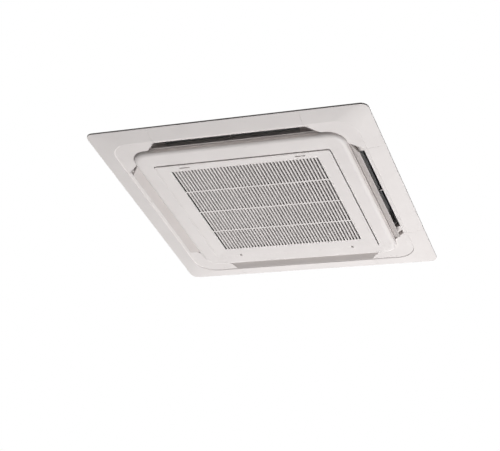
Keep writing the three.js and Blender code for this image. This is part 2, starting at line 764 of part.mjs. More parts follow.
// ---- grille latches ----
['left', 'right'].forEach((hand, k) => {
  const x = latchXs[k];
  const half = latchButtonWidth / 2;
  const y0 = -grilleNear + latchSetback;
  const back = grilleLevel + grillePlate + dishDepth + clearance;
  const button = box(x - half, y0, grilleLevel + 0.2, x + half, y0 + latchButtonLength, back + 0.5);
  const reach = half + seamGap + latchLip - clearance;
  const flange = box(
    x - reach, y0 - latchLip, back, x + reach,
    y0 + latchButtonLength + latchTravel + seamGap, back + latchFlange,
  );
  const tongueHalf = latchTongueWidth / 2 - clearance;
  const tip = -grilleNear - grilleGap - panelWall - latchBite;
  const z0 = tongueBase;
  const z1 = tongueBase + latchTongueThickness;
  const tongue = prism(outline([
    [y0 + latchButtonLength, back + 0.5], [y0 + latchButtonLength, z1], [tip + 1.5, z1], [tip, z0 + 1.5],
    [tip, z0], [y0, z0], [y0, back + 0.5],
  ]), -tongueHalf, tongueHalf).rotate([90, 0, 0]).rotate([0, 0, 90]);
  place(`latch_${hand}`, join(button, flange, moved(tongue, x, 0, 0)), 'whiteMoulding');
});

// ---- hinge pins ----
['left', 'right'].forEach((hand, k) => {
  const reach = hingeEarWidth / 2 + clearance + hingeKnuckleWidth;
  place(
    `hinge_pin_${hand}`,
    rodX(hingeXs[k] - reach, hingeXs[k] + reach, hingeY, hingeZ, hingePinRadius),
    'steel',
  );
});

// ---- air filter on the back of the grille ----
const filterBase = grilleLevel + dishDepth + slatDepth + clearance;
const filterInset = stiffenerInset + stiffenerWall + filterMargin;
const filterArea = {
  x0: -grilleHalf + filterInset, x1: grilleHalf - filterInset,
  y0: -grilleNear + filterInset + 12, y1: hingeY - hingeOuter - filterMargin,
};
function filterFrame() {
  const { x0, y0, x1, y1 } = filterArea;
  const cells = filterRibCount + 1;
  const cellX = (x1 - x0 - 2 * filterBar - filterRibCount * filterRib) / cells;
  const cellY = (y1 - y0 - 2 * filterBar - filterRibCount * filterRib) / cells;
  const windows = [];
  for (let i = 0; i < cells; i += 1) {
    for (let j = 0; j < cells; j += 1) {
      const cx = x0 + filterBar + i * (cellX + filterRib);
      const cy = y0 + filterBar + j * (cellY + filterRib);
      windows.push(box(cx, cy, filterBase - 1, cx + cellX, cy + cellY, filterBase + filterThickness + 1));
    }
  }
  const frame = prism(roundedOutline(x0, y0, x1, y1, 6), filterBase, filterBase + filterThickness, 3);
  return frame.subtract(wasm.Manifold.union(windows));
}
place('filter_frame', filterFrame(), 'greyMoulding');
place('filter_net', box(
  filterArea.x0 + filterBar / 2, filterArea.y0 + filterBar / 2, filterBase + filterThickness + clearance,
  filterArea.x1 - filterBar / 2, filterArea.y1 - filterBar / 2,
  filterBase + filterThickness + clearance + filterNet,
), 'blackMoulding');

// ---- air vanes with their motors and bushes ----
const vaneInner = outletInner + vaneEdgeGap + 1.5;
const vaneOuter = outletOuter - vaneEdgeGap;
const sideNames = ['near', 'right', 'far', 'left'];

function airVane() {
  const z0 = ringLevel;
  const z1 = ringLevel + vaneThickness;
  // section across the blade, drawn with the distance from the centre to the left
  const section = outline([
    [-vaneOuter, z0 + 0.9], [-vaneOuter + vaneTaper, z0], [-vaneInner - vaneTaper, z0],
    [-vaneInner, z0 + 0.9], [-vaneInner, z1 - 1.1], [-vaneInner - vaneTaper, z1],
    [-vaneOuter + vaneTaper, z1], [-vaneOuter, z1 - 1.1],
  ]);
  const length = outletHalfLong + 5;
  const blade = prism(section, -length, length).rotate([90, 0, 0]).rotate([0, 0, 90]);
  const mitre = vaneEdgeGap * Math.SQRT2;
  const plan = outline([
    [-(outletHalfShort - mitre + vaneEdgeGap), -outletOuter], [outletHalfShort - mitre + vaneEdgeGap, -outletOuter],
    [outletHalfLong - mitre, -outletInner], [-(outletHalfLong - mitre), -outletInner],
  ]);
  let vane = blade.intersect(prism(plan, ringLevel - 5, ductRise));
  const wallAt = outletHalfLong - vanePivotInset;
  const earEnd = wallAt - vaneEarRadius - 1;
  [-1, 1].forEach((hand) => {
    const a = Math.min(hand * earEnd, hand * (earEnd - vaneEarThickness));
    const b = a + vaneEarThickness;
    const ear = rodX(a, b, -pivotD, pivotZ, vaneEarRadius);
    const foot = box(a, -pivotD - vaneEarRadius, z1 - 0.5, b, -pivotD + vaneEarRadius, pivotZ);
    vane = join(vane, ear, foot, rodX(
      Math.min(hand * (earEnd - 1), hand * pinEnd), Math.max(hand * (earEnd - 1), hand * pinEnd),
      -pivotD, pivotZ, vanePinRadius, 10,
    ));
  });
  const open = vane.translate([0, pivotD, -pivotZ]).rotate([vaneOpenAngle, 0, 0]);
  return open.translate([0, -pivotD, pivotZ]);
}

function vaneMotor() {
  const end = motorStart + vaneMotorLength;
  const body = rodX(motorStart, end, -pivotD, motorZ, vaneMotorRadius, 16);
  const shaft = rodX(pinEnd + clearance, motorStart + 1, -pivotD, pivotZ, vanePinRadius, 10);
  const plug = box(motorStart + 4, -pivotD - 5, motorZ, end - 3, -pivotD + 5, motorZ + vaneMotorRadius);
  return join(body, shaft, plug);
}

function vaneBush() {
  const inside = vanePinRadius + clearance;
  const wallAt = outletHalfLong - vanePivotInset;
  const start = -(wallAt + bushLength - 1);
  return cut(
    rodX(start, start + bushLength, -pivotD, pivotZ, inside + bushWall),
    rodX(start - 1, start + bushLength + 1, -pivotD, pivotZ, inside),
  );
}

sideNames.forEach((name, side) => {
  place(`air_vane_${name}`, onSide(airVane(), side), 'whiteMoulding');
  place(`vane_motor_${name}`, onSide(vaneMotor(), side), 'steel');
  place(`vane_bush_${name}`, onSide(vaneBush(), side), 'greyMoulding');
});

// ---- cabinet ----
const gasX = -coilOuter + gasPipeInset;
const liquidX = gasX + pipeSpacing;
const pipeMiddleX = (gasX + liquidX) / 2;
const pipeMiddleZ = (gasPipeLevel + liquidPipeLevel) / 2;
const drainY = cabinetHalf - cabinetChamfer - 3 * drainPipeRadius;

const pipeWindow = box(
  pipeMiddleX - coverPlateWidth / 2 + coverPlateLap, linerInner - 5,
  pipeMiddleZ - coverPlateHeight / 2 + coverPlateLap,
  pipeMiddleX + coverPlateWidth / 2 - coverPlateLap, cabinetHalf + 5,
  pipeMiddleZ + coverPlateHeight / 2 - coverPlateLap,
);
const drainHole = rodX(-cabinetHalf - 5, -linerInner + 5, drainY, drainLevel, drainPipeRadius + 1, 12);
const cableHole = rodX(linerInner - 5, cabinetHalf + 5, drainY, drainLevel, 14, 12);

function cabinetShell() {
  const walls = cut(octagonBlock(cabinetHalf, cabinetLift, cabinetTop), octagonBlock(
    cabinetInner, cabinetLift - 1, cabinetTop - sheet,
  ));
  let shell = walls;
  // stamped beads on the top, one along each side, and a round pad over the motor
  const beadD = cabinetHalf - 110;
  const bead = prism(roundedOutline(
    -beadLength / 2, -beadD - beadWidth / 2, beadLength / 2, -beadD + beadWidth / 2, beadWidth / 3,
  ), cabinetTop - sheet / 2, cabinetTop + beadHeight, 2);
  for (let side = 0; side < 4; side += 1) shell = shell.add(onSide(bead, side));
  const pad = turned([
    [0, cabinetTop - sheet / 2], [motorArmReach + 38, cabinetTop - sheet / 2],
    [motorArmReach + 32, cabinetTop + beadHeight], [0, cabinetTop + beadHeight],
  ]);
  shell = shell.add(pad);
  return cut(shell, pipeWindow, drainHole, cableHole);
}
place('cabinet_shell', cabinetShell(), 'steel');

function cabinetInsulation() {
  const outer = octagonBlock(cabinetInner - clearance, panTop + clearance, cabinetTop - sheet - clearance);
  const inner = octagonBlock(linerInner, panTop - 1, cabinetTop - sheet - clearance - linerTop);
  const hole = rod(0, 0, cabinetTop - linerTop - 20, cabinetTop, linerHoleRadius, roundSteps);
  return cut(outer, inner, hole, pipeWindow, drainHole, cableHole);
}
place('cabinet_insulation', cabinetInsulation(), 'whiteFoam');

// ---- drain pan ----
const pumpD = (2 * cabinetHalf - cabinetChamfer) / 2 - pumpInset / Math.SQRT2;
const troughRadius = coilCornerRadius + (troughWidth - coilThickness) / 2;

function drainPan() {
  let pan = octagonBlock(cabinetInner - clearance, panBottom, panTop);
  const ledge = bellLevel + bellPlate + clearance;
  pan = cut(
    pan,
    squareBlock(panOpening, 60, panBottom - 1, ledge),
    squareBlock(panOpening - 10, 50, panBottom - 1, panTop + 1),
  );
  const trough = squareRing(
    troughOuter, troughRadius, troughInner, troughRadius - troughWidth, panBottom + panFloor, panTop + 5,
  );
  pan = pan.subtract(trough);
  // duct openings under the coil's outer side
  const duct = prism(roundedOutline(
    -ductHalf - 2, -outletOuter, ductHalf + 2, -outletInner, 6,
  ), panBottom - 1, panTop + 1, 2);
  // ribs that hold the coil up in the trough
  const rib = box(-8, -troughOuter - 2, panBottom + panFloor - 1, 8, -troughInner + 2, coilBase - clearance);
  for (let side = 0; side < 4; side += 1) {
    pan = pan.subtract(onSide(duct, side));
    [-0.55, 0.55].forEach((share) => {
      pan = pan.add(onSide(moved(rib, share * coilInner, 0, 0), side));
    });
  }
  // sump for the pump in the open corner of the coil
  const sump = rod(-pumpD, pumpD, panBottom + panFloor - 5, panTop + 5, pumpRadius + 9, 14);
  const channel = box(
    -pumpD, pumpD - 60, panBottom + panFloor - 2, -pumpD + 60, pumpD + 5, panTop + 5,
  );
  pan = pan.subtract(sump).subtract(channel);
  return pan.subtract(rod(-pumpD, pumpD, panBottom - 1, panTop, 9 + clearance, 12));
}
place('drain_pan', drainPan(), 'whiteFoam');
place('drain_plug', turned([
  [0, panBottom + panFloor - 3], [9, panBottom + panFloor - 3], [8.6, panBottom - 0.2],
  [0, panBottom - 0.2],
], 12).translate([-pumpD, pumpD, 0]), 'rubber');

// ---- bell mouth ----
const bellThroat = fanInlet - fanRunningGap - bellLip;
function bellMouth() {
  const steps = 4;
  const flare = (offset) => Array.from({ length: steps + 1 }, (_, i) => {
    const angle = (i / steps) * (Math.PI / 2);
    const r = bellThroat + bellFlare - (bellFlare - offset) * Math.sin(angle);
    const z = bellLevel + bellPlate + (bellRise - 6 - offset) * (1 - Math.cos(angle));
    return [r, z - (offset ? 0 : bellPlate * (1 - i / steps))];
  });
  const inner = flare(0);
  const outer = flare(bellLip);
  const profile = [
    ...inner, [bellThroat, bellTop], [bellThroat + bellLip, bellTop], ...outer.reverse(),
    [bellThroat + bellFlare + 8, bellLevel + bellPlate], [bellThroat + bellFlare + 8, bellLevel],
  ];
  const horn = turned(profile);
  const half = panOpening - clearance;
  const plate = cut(
    squareBlock(half, 60 - clearance, bellLevel, bellLevel + bellPlate),
    rod(0, 0, bellLevel - 1, bellLevel + bellPlate + 1, bellThroat + bellFlare + 4, roundSteps),
  );
  return join(plate, horn);
}
place('bell_mouth', bellMouth(), 'blackMoulding');

// ---- turbo fan ----
function fanShroud() {
  const steps = 4;
  const curve = (offset) => Array.from({ length: steps + 1 }, (_, i) => {
    const angle = (i / steps) * (Math.PI / 2);
    const r = fanRadius - (fanRadius - fanInlet - offset) * Math.cos(angle);
    const z = shroudTop - (fanShroudRise - fanNeck) * (1 - Math.sin(angle));
    return [i === steps ? fanRadius : r, z + (offset ? 0 : fanSkin)];
  });
  const upper = curve(0);
  const lower = curve(fanSkin);
  return turned([
    [fanInlet, neckLevel], ...upper, ...lower.reverse(), [fanInlet + fanSkin, neckLevel],
  ]);
}

function turboFan() {
  const back = turned([
    [shaftRadius + clearance, hubLevel - hubBossLength], [hubBossRadius, hubLevel - hubBossLength],
    [hubBossRadius, hubLevel], [hubRadius, hubLevel], [coneRadius, backLevel], [fanRadius, backLevel],
    [fanRadius, backLevel + fanSkin], [coneRadius - 1, backLevel + fanSkin],
    [hubRadius - 1, hubLevel + fanSkin], [shaftRadius + clearance, hubLevel + fanSkin],
  ]);
  // one blade: a curved strip in plan, trimmed to the space between shroud and back plate
  const inner = fanRadius - bladeInnerStep;
  const outer = fanRadius - 1;
  const steps = 4;
  const side = (hand) => Array.from({ length: steps + 1 }, (_, i) => {
    const t = i / steps;
    const r = inner + (outer - inner) * t;
    const angle = THREE.MathUtils.degToRad(-bladeSweep * t ** 0.9);
    const half = (bladeThickness / 2) * (0.35 + 0.65 * Math.sin(Math.PI * (0.15 + 0.75 * t)));
    return [r * Math.cos(angle) + hand * half * 0.45, r * Math.sin(angle) + hand * half];
  });
  const strip = prism(outline([...side(-1), ...side(1).reverse()]), neckLevel, backLevel + fanSkin / 2);
  const rise = fanShroudRise - fanNeck;
  const space = turned([
    [inner - 5, backLevel + fanSkin / 2], [inner - 5, shroudTop + 10],
    [fanInlet + fanSkin / 2, shroudTop - rise + 2], [fanInlet + fanSkin + 4, shroudTop - rise * 0.6],
    [fanRadius - 18, shroudTop - rise * 0.1 + 1], [fanRadius, shroudTop + fanSkin / 2],
    [fanRadius, backLevel + fanSkin / 2],
  ]);
  const blade = strip.intersect(space);
  let fan = join(back, fanShroud());
  for (let i = 0; i < bladeCount; i += 1) fan = fan.add(blade.rotate([0, 0, (i / bladeCount) * 360]));
  return fan;
}
place('turbo_fan', turboFan(), 'blackMoulding');

const nutTop = hubLevel - hubBossLength - clearance;
place('fan_nut', cut(
  rod(0, 0, nutTop - shaftNutHeight, nutTop, shaftNutRadius, 6),
  rod(0, 0, nutTop - shaftNutHeight - 1, nutTop + 1, shaftRadius + clearance),
), 'brass');
place('motor_shaft', rod(0, 0, nutTop - shaftNutHeight - 3, motorBase + 8, shaftRadius), 'steel');

// ---- fan motor, its bracket and rubber mounts ----
function fanMotor() {
  const body = turned([
    [0, motorBase], [20, motorBase], [20, motorBase + 6], [motorRadius - 10, motorBase + 6],
    [motorRadius, motorBase + 16], [motorRadius, motorTop - 20], [motorRadius - 4, motorTop - 16],
    [motorRadius - 4, motorTop], [0, motorTop],
  ], 24);
  return body.subtract(rod(0, 0, motorBase - 1, motorBase + 8 + clearance, shaftRadius + clearance));
}
place('fan_motor', fanMotor(), 'steel');

const armAngles = [90, 210, 330];
function motorBracket() {
  let bracket = rod(0, 0, bracketLevel, bracketLevel + motorBracketThickness, motorRadius + 6, 24);
  armAngles.forEach((angle) => {
    const arm = prism(roundedOutline(
      0, -motorArmWidth / 2, motorArmReach, motorArmWidth / 2, motorArmWidth / 3,
    ), bracketLevel, bracketLevel + motorBracketThickness, 3);
    bracket = bracket.add(arm.rotate([0, 0, angle]));
  });
  return bracket.subtract(rod(0, 0, bracketLevel - 1, bracketLevel + 10, motorRadius - 22, 16));
}
place('motor_bracket', motorBracket(), 'steel');
armAngles.forEach((angle, i) => {
  const r = motorArmReach - motorArmWidth / 2;
  const a = THREE.MathUtils.degToRad(angle);
  const z0 = bracketLevel + motorBracketThickness + clearance;
  const z1 = cabinetTop - sheet - clearance;
  const middle = (z0 + z1) / 2;
  const mount = turned([
    [0, z0], [rubberRadius, z0], [rubberRadius, middle - 1.5], [rubberRadius - 2.5, middle],
    [rubberRadius, middle + 1.5], [rubberRadius, z1], [0, z1],
  ], 10);
  place(`rubber_mount_${i + 1}`, mount.translate([r * Math.cos(a), r * Math.sin(a), 0]), 'rubber');
});

// ---- heat exchanger ----
const coilEnd = coilOuter - coilOpening;
function coilPack() {
  const outer = [];
  const r = coilCornerRadius;
  const straight = 2 * (coilOuter - r);
  const fins = Math.floor(straight / finPitch);
  const groove = finPitch / 2;
  for (let quarter = 0; quarter < 4; quarter += 1) {
    const turn = (quarter * Math.PI) / 2;
    const put = (x, y) => outer.push([
      x * Math.cos(turn) - y * Math.sin(turn), x * Math.sin(turn) + y * Math.cos(turn),
    ]);
    const start = -(fins * finPitch) / 2;
    for (let i = 0; i < fins; i += 1) {
      const y = start + i * finPitch;
      put(coilOuter, y + 0.01);
      put(coilOuter, y + groove);
      put(coilOuter - finDepth, y + groove);
      put(coilOuter - finDepth, y + finPitch);
    }
    for (let i = 0; i <= arcSteps; i += 1) {
      const angle = (i / arcSteps) * (Math.PI / 2);
      put(coilOuter - r + r * Math.cos(angle), coilOuter - r + r * Math.sin(angle));
    }
  }
  const shape = outline(outer);
  shape.holes.push(roundedOutline(
    -coilInner, -coilInner, coilInner, coilInner, r - coilThickness, THREE.Path,
  ));
  const pack = prism(shape, coilBase, coilTop, arcSteps);
  const gap = box(-coilOuter - 5, coilEnd, coilBase - 5, -coilEnd, coilOuter + 5, coilTop + 5);
  return pack.subtract(gap);
}
place('heat_exchanger', coilPack(), 'aluminium');

// End plate across the coil, with its return bends standing out of it, drawn on the end that
// faces left and turned for the other end.
function coilEndPlate(levels) {
  const x = -coilEnd - clearance;
  let plate = box(x - endPlate, coilInner + 1, coilBase + 2, x, coilOuter - finDepth - 1, coilTop - 2);
  levels.forEach(([y, z]) => {
    const bend = pipe([
      [x - endPlate + 0.5, y, z], [x - endPlate - 8, y, z], [x - endPlate - 16, y, z + returnBendSpan * 0.2],
      [x - endPlate - 19, y, z + returnBendSpan / 2], [x - endPlate - 16, y, z + returnBendSpan * 0.8],
      [x - endPlate - 8, y, z + returnBendSpan], [x - endPlate + 0.5, y, z + returnBendSpan],
    ], returnBendRadius, 5, 6);
    plate = plate.add(bend);
  });
  return plate;
}
const rowNear = coilInner + coilThickness * 0.25;
const rowFar = coilInner + coilThickness * 0.68;
const bendLevels = [coilBase + 18];
place('coil_end_plate_far', coilEndPlate(
  bendLevels.flatMap((z) => [[rowNear, z], [rowFar, z]]),
), 'copper');
// mirrored across the corner's diagonal, so that it closes the end that faces far
const leftEnd = coilEndPlate([...bendLevels, coilBase + 118].flatMap((z) => [
  [rowNear, z], [rowFar, z],
])).mirror([0, 1, 0]).rotate([0, 0, -90]);
place('coil_end_plate_left', leftEnd, 'copper');

// ---- refrigerant pipes with their flare nuts ----
const pipeY = rowNear + (rowFar - rowNear) / 2;
function refrigerantPipe(x, z, radius) {
  const start = -coilEnd - 2 * clearance - endPlate;
  return pipe([
    [start, pipeY, z], [(start + x) / 2, pipeY, z], [x + 6, pipeY + 2, z], [x, pipeY + 12, z],
    [x, pipeY + 30, z], [x, cabinetHalf, z], [x, cabinetHalf + pipeReach, z],
  ], radius, 14, 8);
}
function flareNut(x, z, radius) {
  const end = cabinetHalf + pipeReach;
  const nut = rodY(end - 2.4 * radius, end + 2, x, z, radius * 1.75, 6);
  return nut.subtract(rodY(end - 30 - radius, end + 30, x, z, radius + clearance, 12));
}
place('gas_pipe', refrigerantPipe(gasX, gasPipeLevel, gasPipeRadius), 'copper');
place('liquid_pipe', refrigerantPipe(liquidX, liquidPipeLevel, liquidPipeRadius), 'copper');
place('gas_flare_nut', flareNut(gasX, gasPipeLevel, gasPipeRadius), 'brass');
place('liquid_flare_nut', flareNut(liquidX, liquidPipeLevel, liquidPipeRadius), 'brass');

const plateY = cabinetHalf + clearance;
function pipeCoverPlate() {
  const plate = box(
    pipeMiddleX - coverPlateWidth / 2, plateY, pipeMiddleZ - coverPlateHeight / 2,
    pipeMiddleX + coverPlateWidth / 2, plateY + sheet, pipeMiddleZ + coverPlateHeight / 2,
  );
  return cut(
    plate,
    rodY(plateY - 5, plateY + 10, gasX, gasPipeLevel, gasPipeRadius + clearance, 12),
    rodY(plateY - 5, plateY + 10, liquidX, liquidPipeLevel, liquidPipeRadius + clearance, 12),
  );
}
place('pipe_cover_plate', pipeCoverPlate(), 'steel');

// ---- drain pump, float switch and drain outlet ----
const pumpBase = panBottom + panFloor + 2;
const pumpTop = pumpBase + 62 + pumpHeight;
place('drain_pump', turned([
  [0, pumpBase], [16, pumpBase], [20, pumpBase + 10], [20, pumpBase + 40], [12, pumpBase + 52],
  [12, pumpBase + 60], [pumpRadius, pumpBase + 62], [pumpRadius, pumpTop - 4],
  [pumpRadius - 4, pumpTop], [0, pumpTop],
], 16).translate([-pumpD, pumpD, 0]), 'whiteMoulding');

const bracketZ = pumpTop + clearance;
const stemX = -pumpD + pumpRadius + 14;
const stemY = pumpD - 6;
function pumpBracket() {
  const wall = (2 * cabinetHalf - cabinetChamfer) / Math.SQRT2 - sheet - linerThickness - 3 * clearance;
  const inPlace = prism(outline([
    [-30, wall], [30, wall], [30, wall - 50], [24, wall - 90], [-24, wall - 90], [-30, wall - 50],
  ]), bracketZ, bracketZ + sheet);
  const flange = box(-30, wall - sheet, bracketZ - 30, 30, wall, bracketZ + sheet);
  const bracket = join(inPlace, flange).rotate([0, 0, 45]);
  const arm = box(-pumpD + 10, stemY - 9, bracketZ, stemX + 9, stemY + 9, bracketZ + sheet);
  return join(bracket, arm).subtract(
    rod(stemX, stemY, bracketZ - 5, bracketZ + 5, floatStemRadius + clearance),
  );
}
place('pump_bracket', pumpBracket(), 'steel');

const floatBase = panBottom + panFloor + 6;
place('float_switch_stem', join(
  rod(stemX, stemY, floatBase - 3, bracketZ + sheet + 4, floatStemRadius),
  rod(stemX, stemY, bracketZ + sheet + clearance, bracketZ + sheet + 10, 8),
  rod(stemX, stemY, floatBase - 3, floatBase - clearance, floatStemRadius + 3),
  rod(stemX, stemY, floatBase + floatHeight + floatTravel + clearance,
    floatBase + floatHeight + floatTravel + 4, floatStemRadius + 3),
), 'whiteMoulding');
place('float', cut(
  rod(stemX, stemY, floatBase, floatBase + floatHeight, floatRadius, 12),
  rod(stemX, stemY, floatBase - 1, floatBase + floatHeight + 1, floatStemRadius + clearance),
), 'blackMoulding');

// the outlet rises beside the pump and leaves through the left wall
const spoutX = -pumpD - pumpRadius - clearance;
function drainOutlet() {
  const level = pumpTop - 16;
  return pipe([
    [spoutX, pumpD, level], [spoutX - 10, pumpD - 2, level], [spoutX - 20, pumpD - 18, level + 12],
    [spoutX - 24, drainY + 10, drainLevel - 8], [-linerInner + 2, drainY, drainLevel],
    [-cabinetHalf - pipeReach, drainY, drainLevel],
  ], drainPipeRadius - 4, 10, 8).add(rodX(
    -cabinetHalf - pipeReach, -cabinetHalf + 3, drainY, drainLevel, drainPipeRadius, 12,
  ));
}
place('drain_outlet', drainOutlet(), 'greyMoulding');

// ---- control box in the intake opening ----
const boxX0 = -panOpening + 4;
const boxX1 = boxX0 + controlBoxWidth;
const boxTop = bellLevel - clearance;
const boxBase = boxTop - controlBoxHeight;
place('control_box', cut(
  box(boxX0, -controlBoxLength / 2, boxBase, boxX1, controlBoxLength / 2, boxTop),
  box(boxX0 + sheet, -controlBoxLength / 2 + sheet, boxBase - 1, boxX1 - sheet, controlBoxLength / 2 - sheet,
    boxTop - sheet),
), 'steel');
place('control_box_cover', join(
  box(boxX0, -controlBoxLength / 2, boxBase - clearance - sheet, boxX1, controlBoxLength / 2,
    boxBase - clearance),
  box(boxX1 + clearance, -40, boxBase - clearance - sheet, boxX1 + clearance + sheet, 40, boxBase + 8),
  box(boxX1 - 1, -40, boxBase - clearance - sheet, boxX1 + clearance + sheet, 40, boxBase - clearance),
), 'steel');
const boardTop = boxTop - sheet - 7;
place('control_board', join(
  box(boxX0 + 5, -controlBoxLength / 2 + 8, boardTop - 1.6, boxX1 - 5, controlBoxLength / 2 - 70, boardTop),
  ...[-120, 20, 60].map((y) => rod((boxX0 + boxX1) / 2, y, boardTop - 1, boxTop - sheet - clearance, 3, 10)),
  ...[-100, -60, -20, 40].map((y) => box(boxX0 + 14, y, boardTop - 9, boxX0 + 32, y + 16, boardTop - 1)),
), 'board');
place('terminal_block', join(
  box(boxX0 + 10, controlBoxLength / 2 - 60, boxTop - sheet - 16, boxX1 - 10, controlBoxLength / 2 - 10,
    boxTop - sheet - clearance),
), 'blackMoulding');

// ---- hanger brackets on the cut corners ----
function hangerBracket() {
  const wall = (2 * cabinetHalf - cabinetChamfer) / Math.SQRT2 + clearance;
  const z = cabinetLift + hangerLevel;
  const half = hangerWidth / 2;
  const upright = box(-half, wall, z, half, wall + hangerThickness, z + hangerHeight);
  const shelfShape = outline([
    [-half, wall], [half, wall], [half, wall + hangerReach - 8], [half - 8, wall + hangerReach],
    [-half + 8, wall + hangerReach], [-half, wall + hangerReach - 8],
  ]);
  const slotEnd = wall + hangerReach - hangerSlotDepth + hangerSlot / 2;
  const slot = join(
    box(-hangerSlot / 2, slotEnd, z - 5, hangerSlot / 2, wall + hangerReach + 5, z + 10),
    rod(0, slotEnd, z - 5, z + 10, hangerSlot / 2, 24),
  );
  const gusset = prism(outline([
    [wall + 1, z + 1], [wall + hangerReach - 12, z + 1], [wall + 1, z + hangerHeight - 6],
  ]), 0, hangerThickness).rotate([90, 0, 0]).rotate([0, 0, 90]);
  const shelf = cut(prism(shelfShape, z, z + hangerThickness), slot);
  return join(
    upright, shelf, moved(gusset, -half, 0, 0), moved(gusset, half - hangerThickness, 0, 0),
  ).rotate([0, 0, -45]);
}
cornerNames.forEach((name, corner) => {
  place(`hanger_${name}`, onSide(hangerBracket(), corner), 'steel');
});

export default unit;
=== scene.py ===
import json
import math

import bmesh
import bpy
from mathutils import Matrix, Vector

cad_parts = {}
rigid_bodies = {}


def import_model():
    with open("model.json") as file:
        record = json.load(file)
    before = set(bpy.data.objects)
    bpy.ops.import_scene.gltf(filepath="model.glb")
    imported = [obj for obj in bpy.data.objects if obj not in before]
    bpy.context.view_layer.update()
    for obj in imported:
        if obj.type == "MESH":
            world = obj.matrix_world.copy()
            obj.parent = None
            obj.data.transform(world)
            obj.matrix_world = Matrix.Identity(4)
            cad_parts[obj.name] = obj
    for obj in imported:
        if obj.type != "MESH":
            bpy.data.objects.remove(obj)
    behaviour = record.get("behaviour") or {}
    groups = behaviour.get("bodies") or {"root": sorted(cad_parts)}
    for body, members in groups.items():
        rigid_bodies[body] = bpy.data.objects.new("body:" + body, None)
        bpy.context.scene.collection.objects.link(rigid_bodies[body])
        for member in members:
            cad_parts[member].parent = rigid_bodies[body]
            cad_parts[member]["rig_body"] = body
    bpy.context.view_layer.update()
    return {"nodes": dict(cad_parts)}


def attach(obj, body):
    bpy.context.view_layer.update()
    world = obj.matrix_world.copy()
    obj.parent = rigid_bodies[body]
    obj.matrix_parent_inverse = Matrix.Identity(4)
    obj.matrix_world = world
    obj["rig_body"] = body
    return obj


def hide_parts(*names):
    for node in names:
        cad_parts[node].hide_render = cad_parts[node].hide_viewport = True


for leftover in list(bpy.data.objects):
    bpy.data.objects.remove(leftover)
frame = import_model()
scene = bpy.context.scene
scene.view_settings.view_transform = "Standard"
mm = 0.001
sideNames = ["near", "right", "far", "left"]
cornerNames = ["far_right", "far_left", "near_left", "near_right"]
print("frame loaded:", len(frame["nodes"]), "nodes")

# the camera looks up at the panel from the near side; a long lens, framed on 500 x 451
cameraSettings = {
    "position": (1.476, -3.450, -2.328),
    "right": (0.9335, 0.3378, 0.12),
    "forward": (-0.35, 0.7866, 0.5086),
    "lens": 93.35,
    "sensor": 36,
    "clipEnd": 60,
}


def makeCamera(settings):
    forward = Vector(settings["forward"]).normalized()
    right = Vector(settings["right"])
    right = (right - forward * right.dot(forward)).normalized()
    up = right.cross(forward)
    turn = Matrix((right, up, -forward)).transposed().to_4x4()
    data = bpy.data.cameras.new("camera")
    data.lens = settings["lens"]
    data.sensor_width = settings["sensor"]
    data.clip_end = settings["clipEnd"]
    camera = bpy.data.objects.new("camera", data)
    camera.matrix_world = Matrix.Translation(settings["position"]) @ turn
    scene.collection.objects.link(camera)
    scene.camera = camera


makeCamera(cameraSettings)

# soft lamps: the main one below on the far right, a large one above for the cabinet
lamps = [
    {"name": "lowLamp", "place": (1.56, 2.6, -5.2), "aim": (0, 0, 0), "size": 3.2, "power": 350},
    {"name": "highLamp", "place": (1.6, 2.2, 4.5), "aim": (0, 0, 0.1), "size": 4.5, "power": 150},
]


def makeLamps():
    for lamp in lamps:
        data = bpy.data.lights.new(lamp["name"], "AREA")
        data.shape = "DISK"
        data.size = lamp["size"]
        data.energy = lamp["power"]
        obj = bpy.data.objects.new(lamp["name"], data)
        aim = Vector(lamp["aim"]) - Vector(lamp["place"])
        turn = aim.to_track_quat("-Z", "Y").to_matrix().to_4x4()
        obj.matrix_world = Matrix.Translation(lamp["place"]) @ turn
        obj.visible_camera = False
        scene.collection.objects.link(obj)


def viewerShare(tree):
    # 1 where the camera, a reflection or a view through glass looks, 0 for the light itself
    path = tree.nodes.new("ShaderNodeLightPath")
    share = path.outputs["Is Camera Ray"]
    for ray in ("Is Glossy Ray", "Is Transmission Ray"):
        either = tree.nodes.new("ShaderNodeMath")
        either.operation = "MAXIMUM"
        tree.links.new(share, either.inputs[0])
        tree.links.new(path.outputs[ray], either.inputs[1])
        share = either.outputs[0]
    return share


def mixShaders(tree, share, first, second):
    mix = tree.nodes.new("ShaderNodeMixShader")
    tree.links.new(share, mix.inputs[0])
    tree.links.new(first.outputs[0], mix.inputs[1])
    tree.links.new(second.outputs[0], mix.inputs[2])
    return mix.outputs[0]


def blankMaterial(name):
    # a material with nothing in it but its output, whose surface socket is given back
    material = bpy.data.materials.new(name)
    material.use_nodes = True
    tree = material.node_tree
    tree.nodes.clear()
    return material, tree, tree.nodes.new("ShaderNodeOutputMaterial").inputs["Surface"]


white = (1, 1, 1, 1)
worldSettings = {"light": (1.0, 0.99, 0.985), "strength": 0.04}


def makeWorld(settings):
    world = bpy.data.worlds.new("studio")
    world.use_nodes = True
    scene.world = world
    tree = world.node_tree
    tree.nodes.clear()
    out = tree.nodes.new("ShaderNodeOutputWorld")
    light = tree.nodes.new("ShaderNodeBackground")
    light.inputs["Color"].default_value = (*settings["light"], 1)
    light.inputs["Strength"].default_value = settings["strength"]
    seen = tree.nodes.new("ShaderNodeBackground")
    seen.inputs["Color"].default_value = white
    tree.links.new(mixShaders(tree, viewerShare(tree), light, seen), out.inputs["Surface"])


floorSettings = {"level": -6, "reach": 36, "tone": (0.8, 0.8, 0.8), "whiteShare": 0.8, "fade": (5, 20)}


